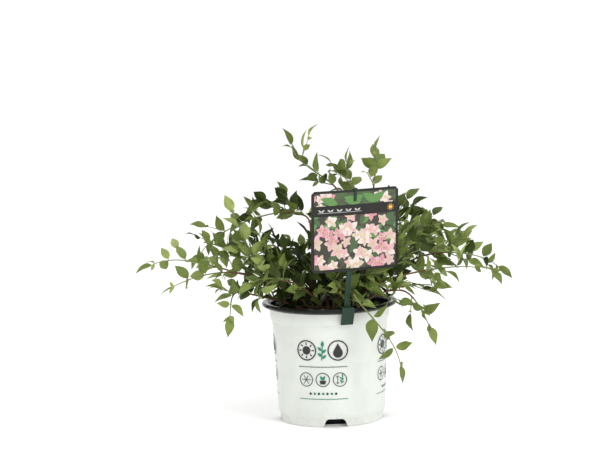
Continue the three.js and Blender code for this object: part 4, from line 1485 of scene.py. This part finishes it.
def add_area(name, place, size, power):
    data = bpy.data.lights.new(name, "AREA")
    data.shape = "ELLIPSE"
    data.size, data.size_y = size
    data.energy = power
    lamp = placed(name, data)
    aim = Vector((0, 0, 0.22)) - Vector(place)
    lamp.location = place
    lamp.rotation_euler = aim.to_track_quat("-Z", "Y").to_euler()


def build_light():
    world = bpy.data.worlds.new("studio")
    world.use_nodes = True
    background = world.node_tree.nodes["Background"]
    background.inputs["Color"].default_value = (1, 1, 1, 1)
    background.inputs["Strength"].default_value = 1.06
    bpy.context.scene.world = world
    add_area("key", (1.9, -2.0, 2.1), (1.3, 1.3), 36)
    add_area("rim", (-1.6, 1.6, 2.2), (1.2, 1.2), 10)
    add_area("strip", (0, -1.2, 2.2), (2.4, 0.06), 6)


def build_camera():
    data = bpy.data.cameras.new("camera")
    data.sensor_width = SENSOR_WIDTH
    data.lens = SENSOR_WIDTH * CAMERA["focal"] / IMAGE_WIDTH
    data.clip_end = 200
    camera = placed("camera", data)
    turns = ((-CAMERA["yaw"], "Z"), (90 - CAMERA["pitch"], "X"), (-CAMERA["roll"], "Z"))
    turn, tilt, roll = (Matrix.Rotation(angle * RAD, 4, axis) for angle, axis in turns)
    place = Matrix.Translation((0, -CAMERA["away"], CAMERA["height"]))
    camera.matrix_world = place @ turn @ tilt @ roll
    bpy.context.scene.camera = camera
    bpy.context.scene.view_settings.view_transform = "Standard"


def build_plant():
    upper = [leaf_finish(f"leaf_{i}", tone, 0.25) for i, tone in enumerate(LEAF_TONES)]
    pale = [shade(LEAF_TONES[i], 1.3) for i in (1, 4, 6)]
    under = [leaf_finish(f"leaf_under_{i}", tone, 0.4) for i, tone in enumerate(pale)]
    for side in SIDES:
        build_leaves(side, [g for g in GROWTHS if side_of(g) == side], upper, under)
    brown = twig_finish("twig_brown", linear(92, 66, 44), linear(128, 98, 66))
    green = twig_finish("twig_green", linear(100, 110, 60), linear(138, 146, 92))
    build_twigs([brown, green])
    build_stems(bark_finish())


def build_pot_and_mix():
    inner_black = plastic_finish("inner_black", linear(12, 12, 10), 0.6, 500, 0.0001, 0.2)
    build_pot(pot_finish(), inner_black)
    build_lip(plastic_finish("lip_black", linear(13, 14, 13), 0.12, 900, 0.00001, 0.24))
    build_soil(soil_finish("mix_dark", linear(28, 21, 16), linear(62, 45, 33), 260), inner_black)
    chips = [
        soil_finish("chip_dark", linear(42, 30, 22), linear(70, 50, 36), 180),
        soil_finish("chip_brown", linear(62, 42, 29), linear(98, 70, 49), 160),
        soil_finish("chip_black", linear(22, 18, 15), linear(46, 36, 28), 200),
    ]
    build_chips(chips)
    inks = {"ink_dark": linear(28, 29, 31), "ink_green": linear(0, 122, 88)}
    build_pot_prints([print_finish(name, colour) for name, colour in inks.items()])


def build_tag():
    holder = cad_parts["tag_holder"]
    holder.data.materials.clear()
    green = plastic_finish("holder_green", linear(25, 53, 38), 0.42, 260, 0.0002, 0.3)
    holder.data.materials.append(green)
    build_card(plastic_finish("card_charcoal", linear(26, 25, 23), 0.5, 500, 0.00008, 0.35))
    build_card_art([print_finish(f"ink_{name}", linear(*rgb)) for name, rgb in CARD_INKS.items()])


build_camera()
build_stage()
build_light()
build_plant()
build_pot_and_mix()
build_tag()

bpy.context.view_layer.update()
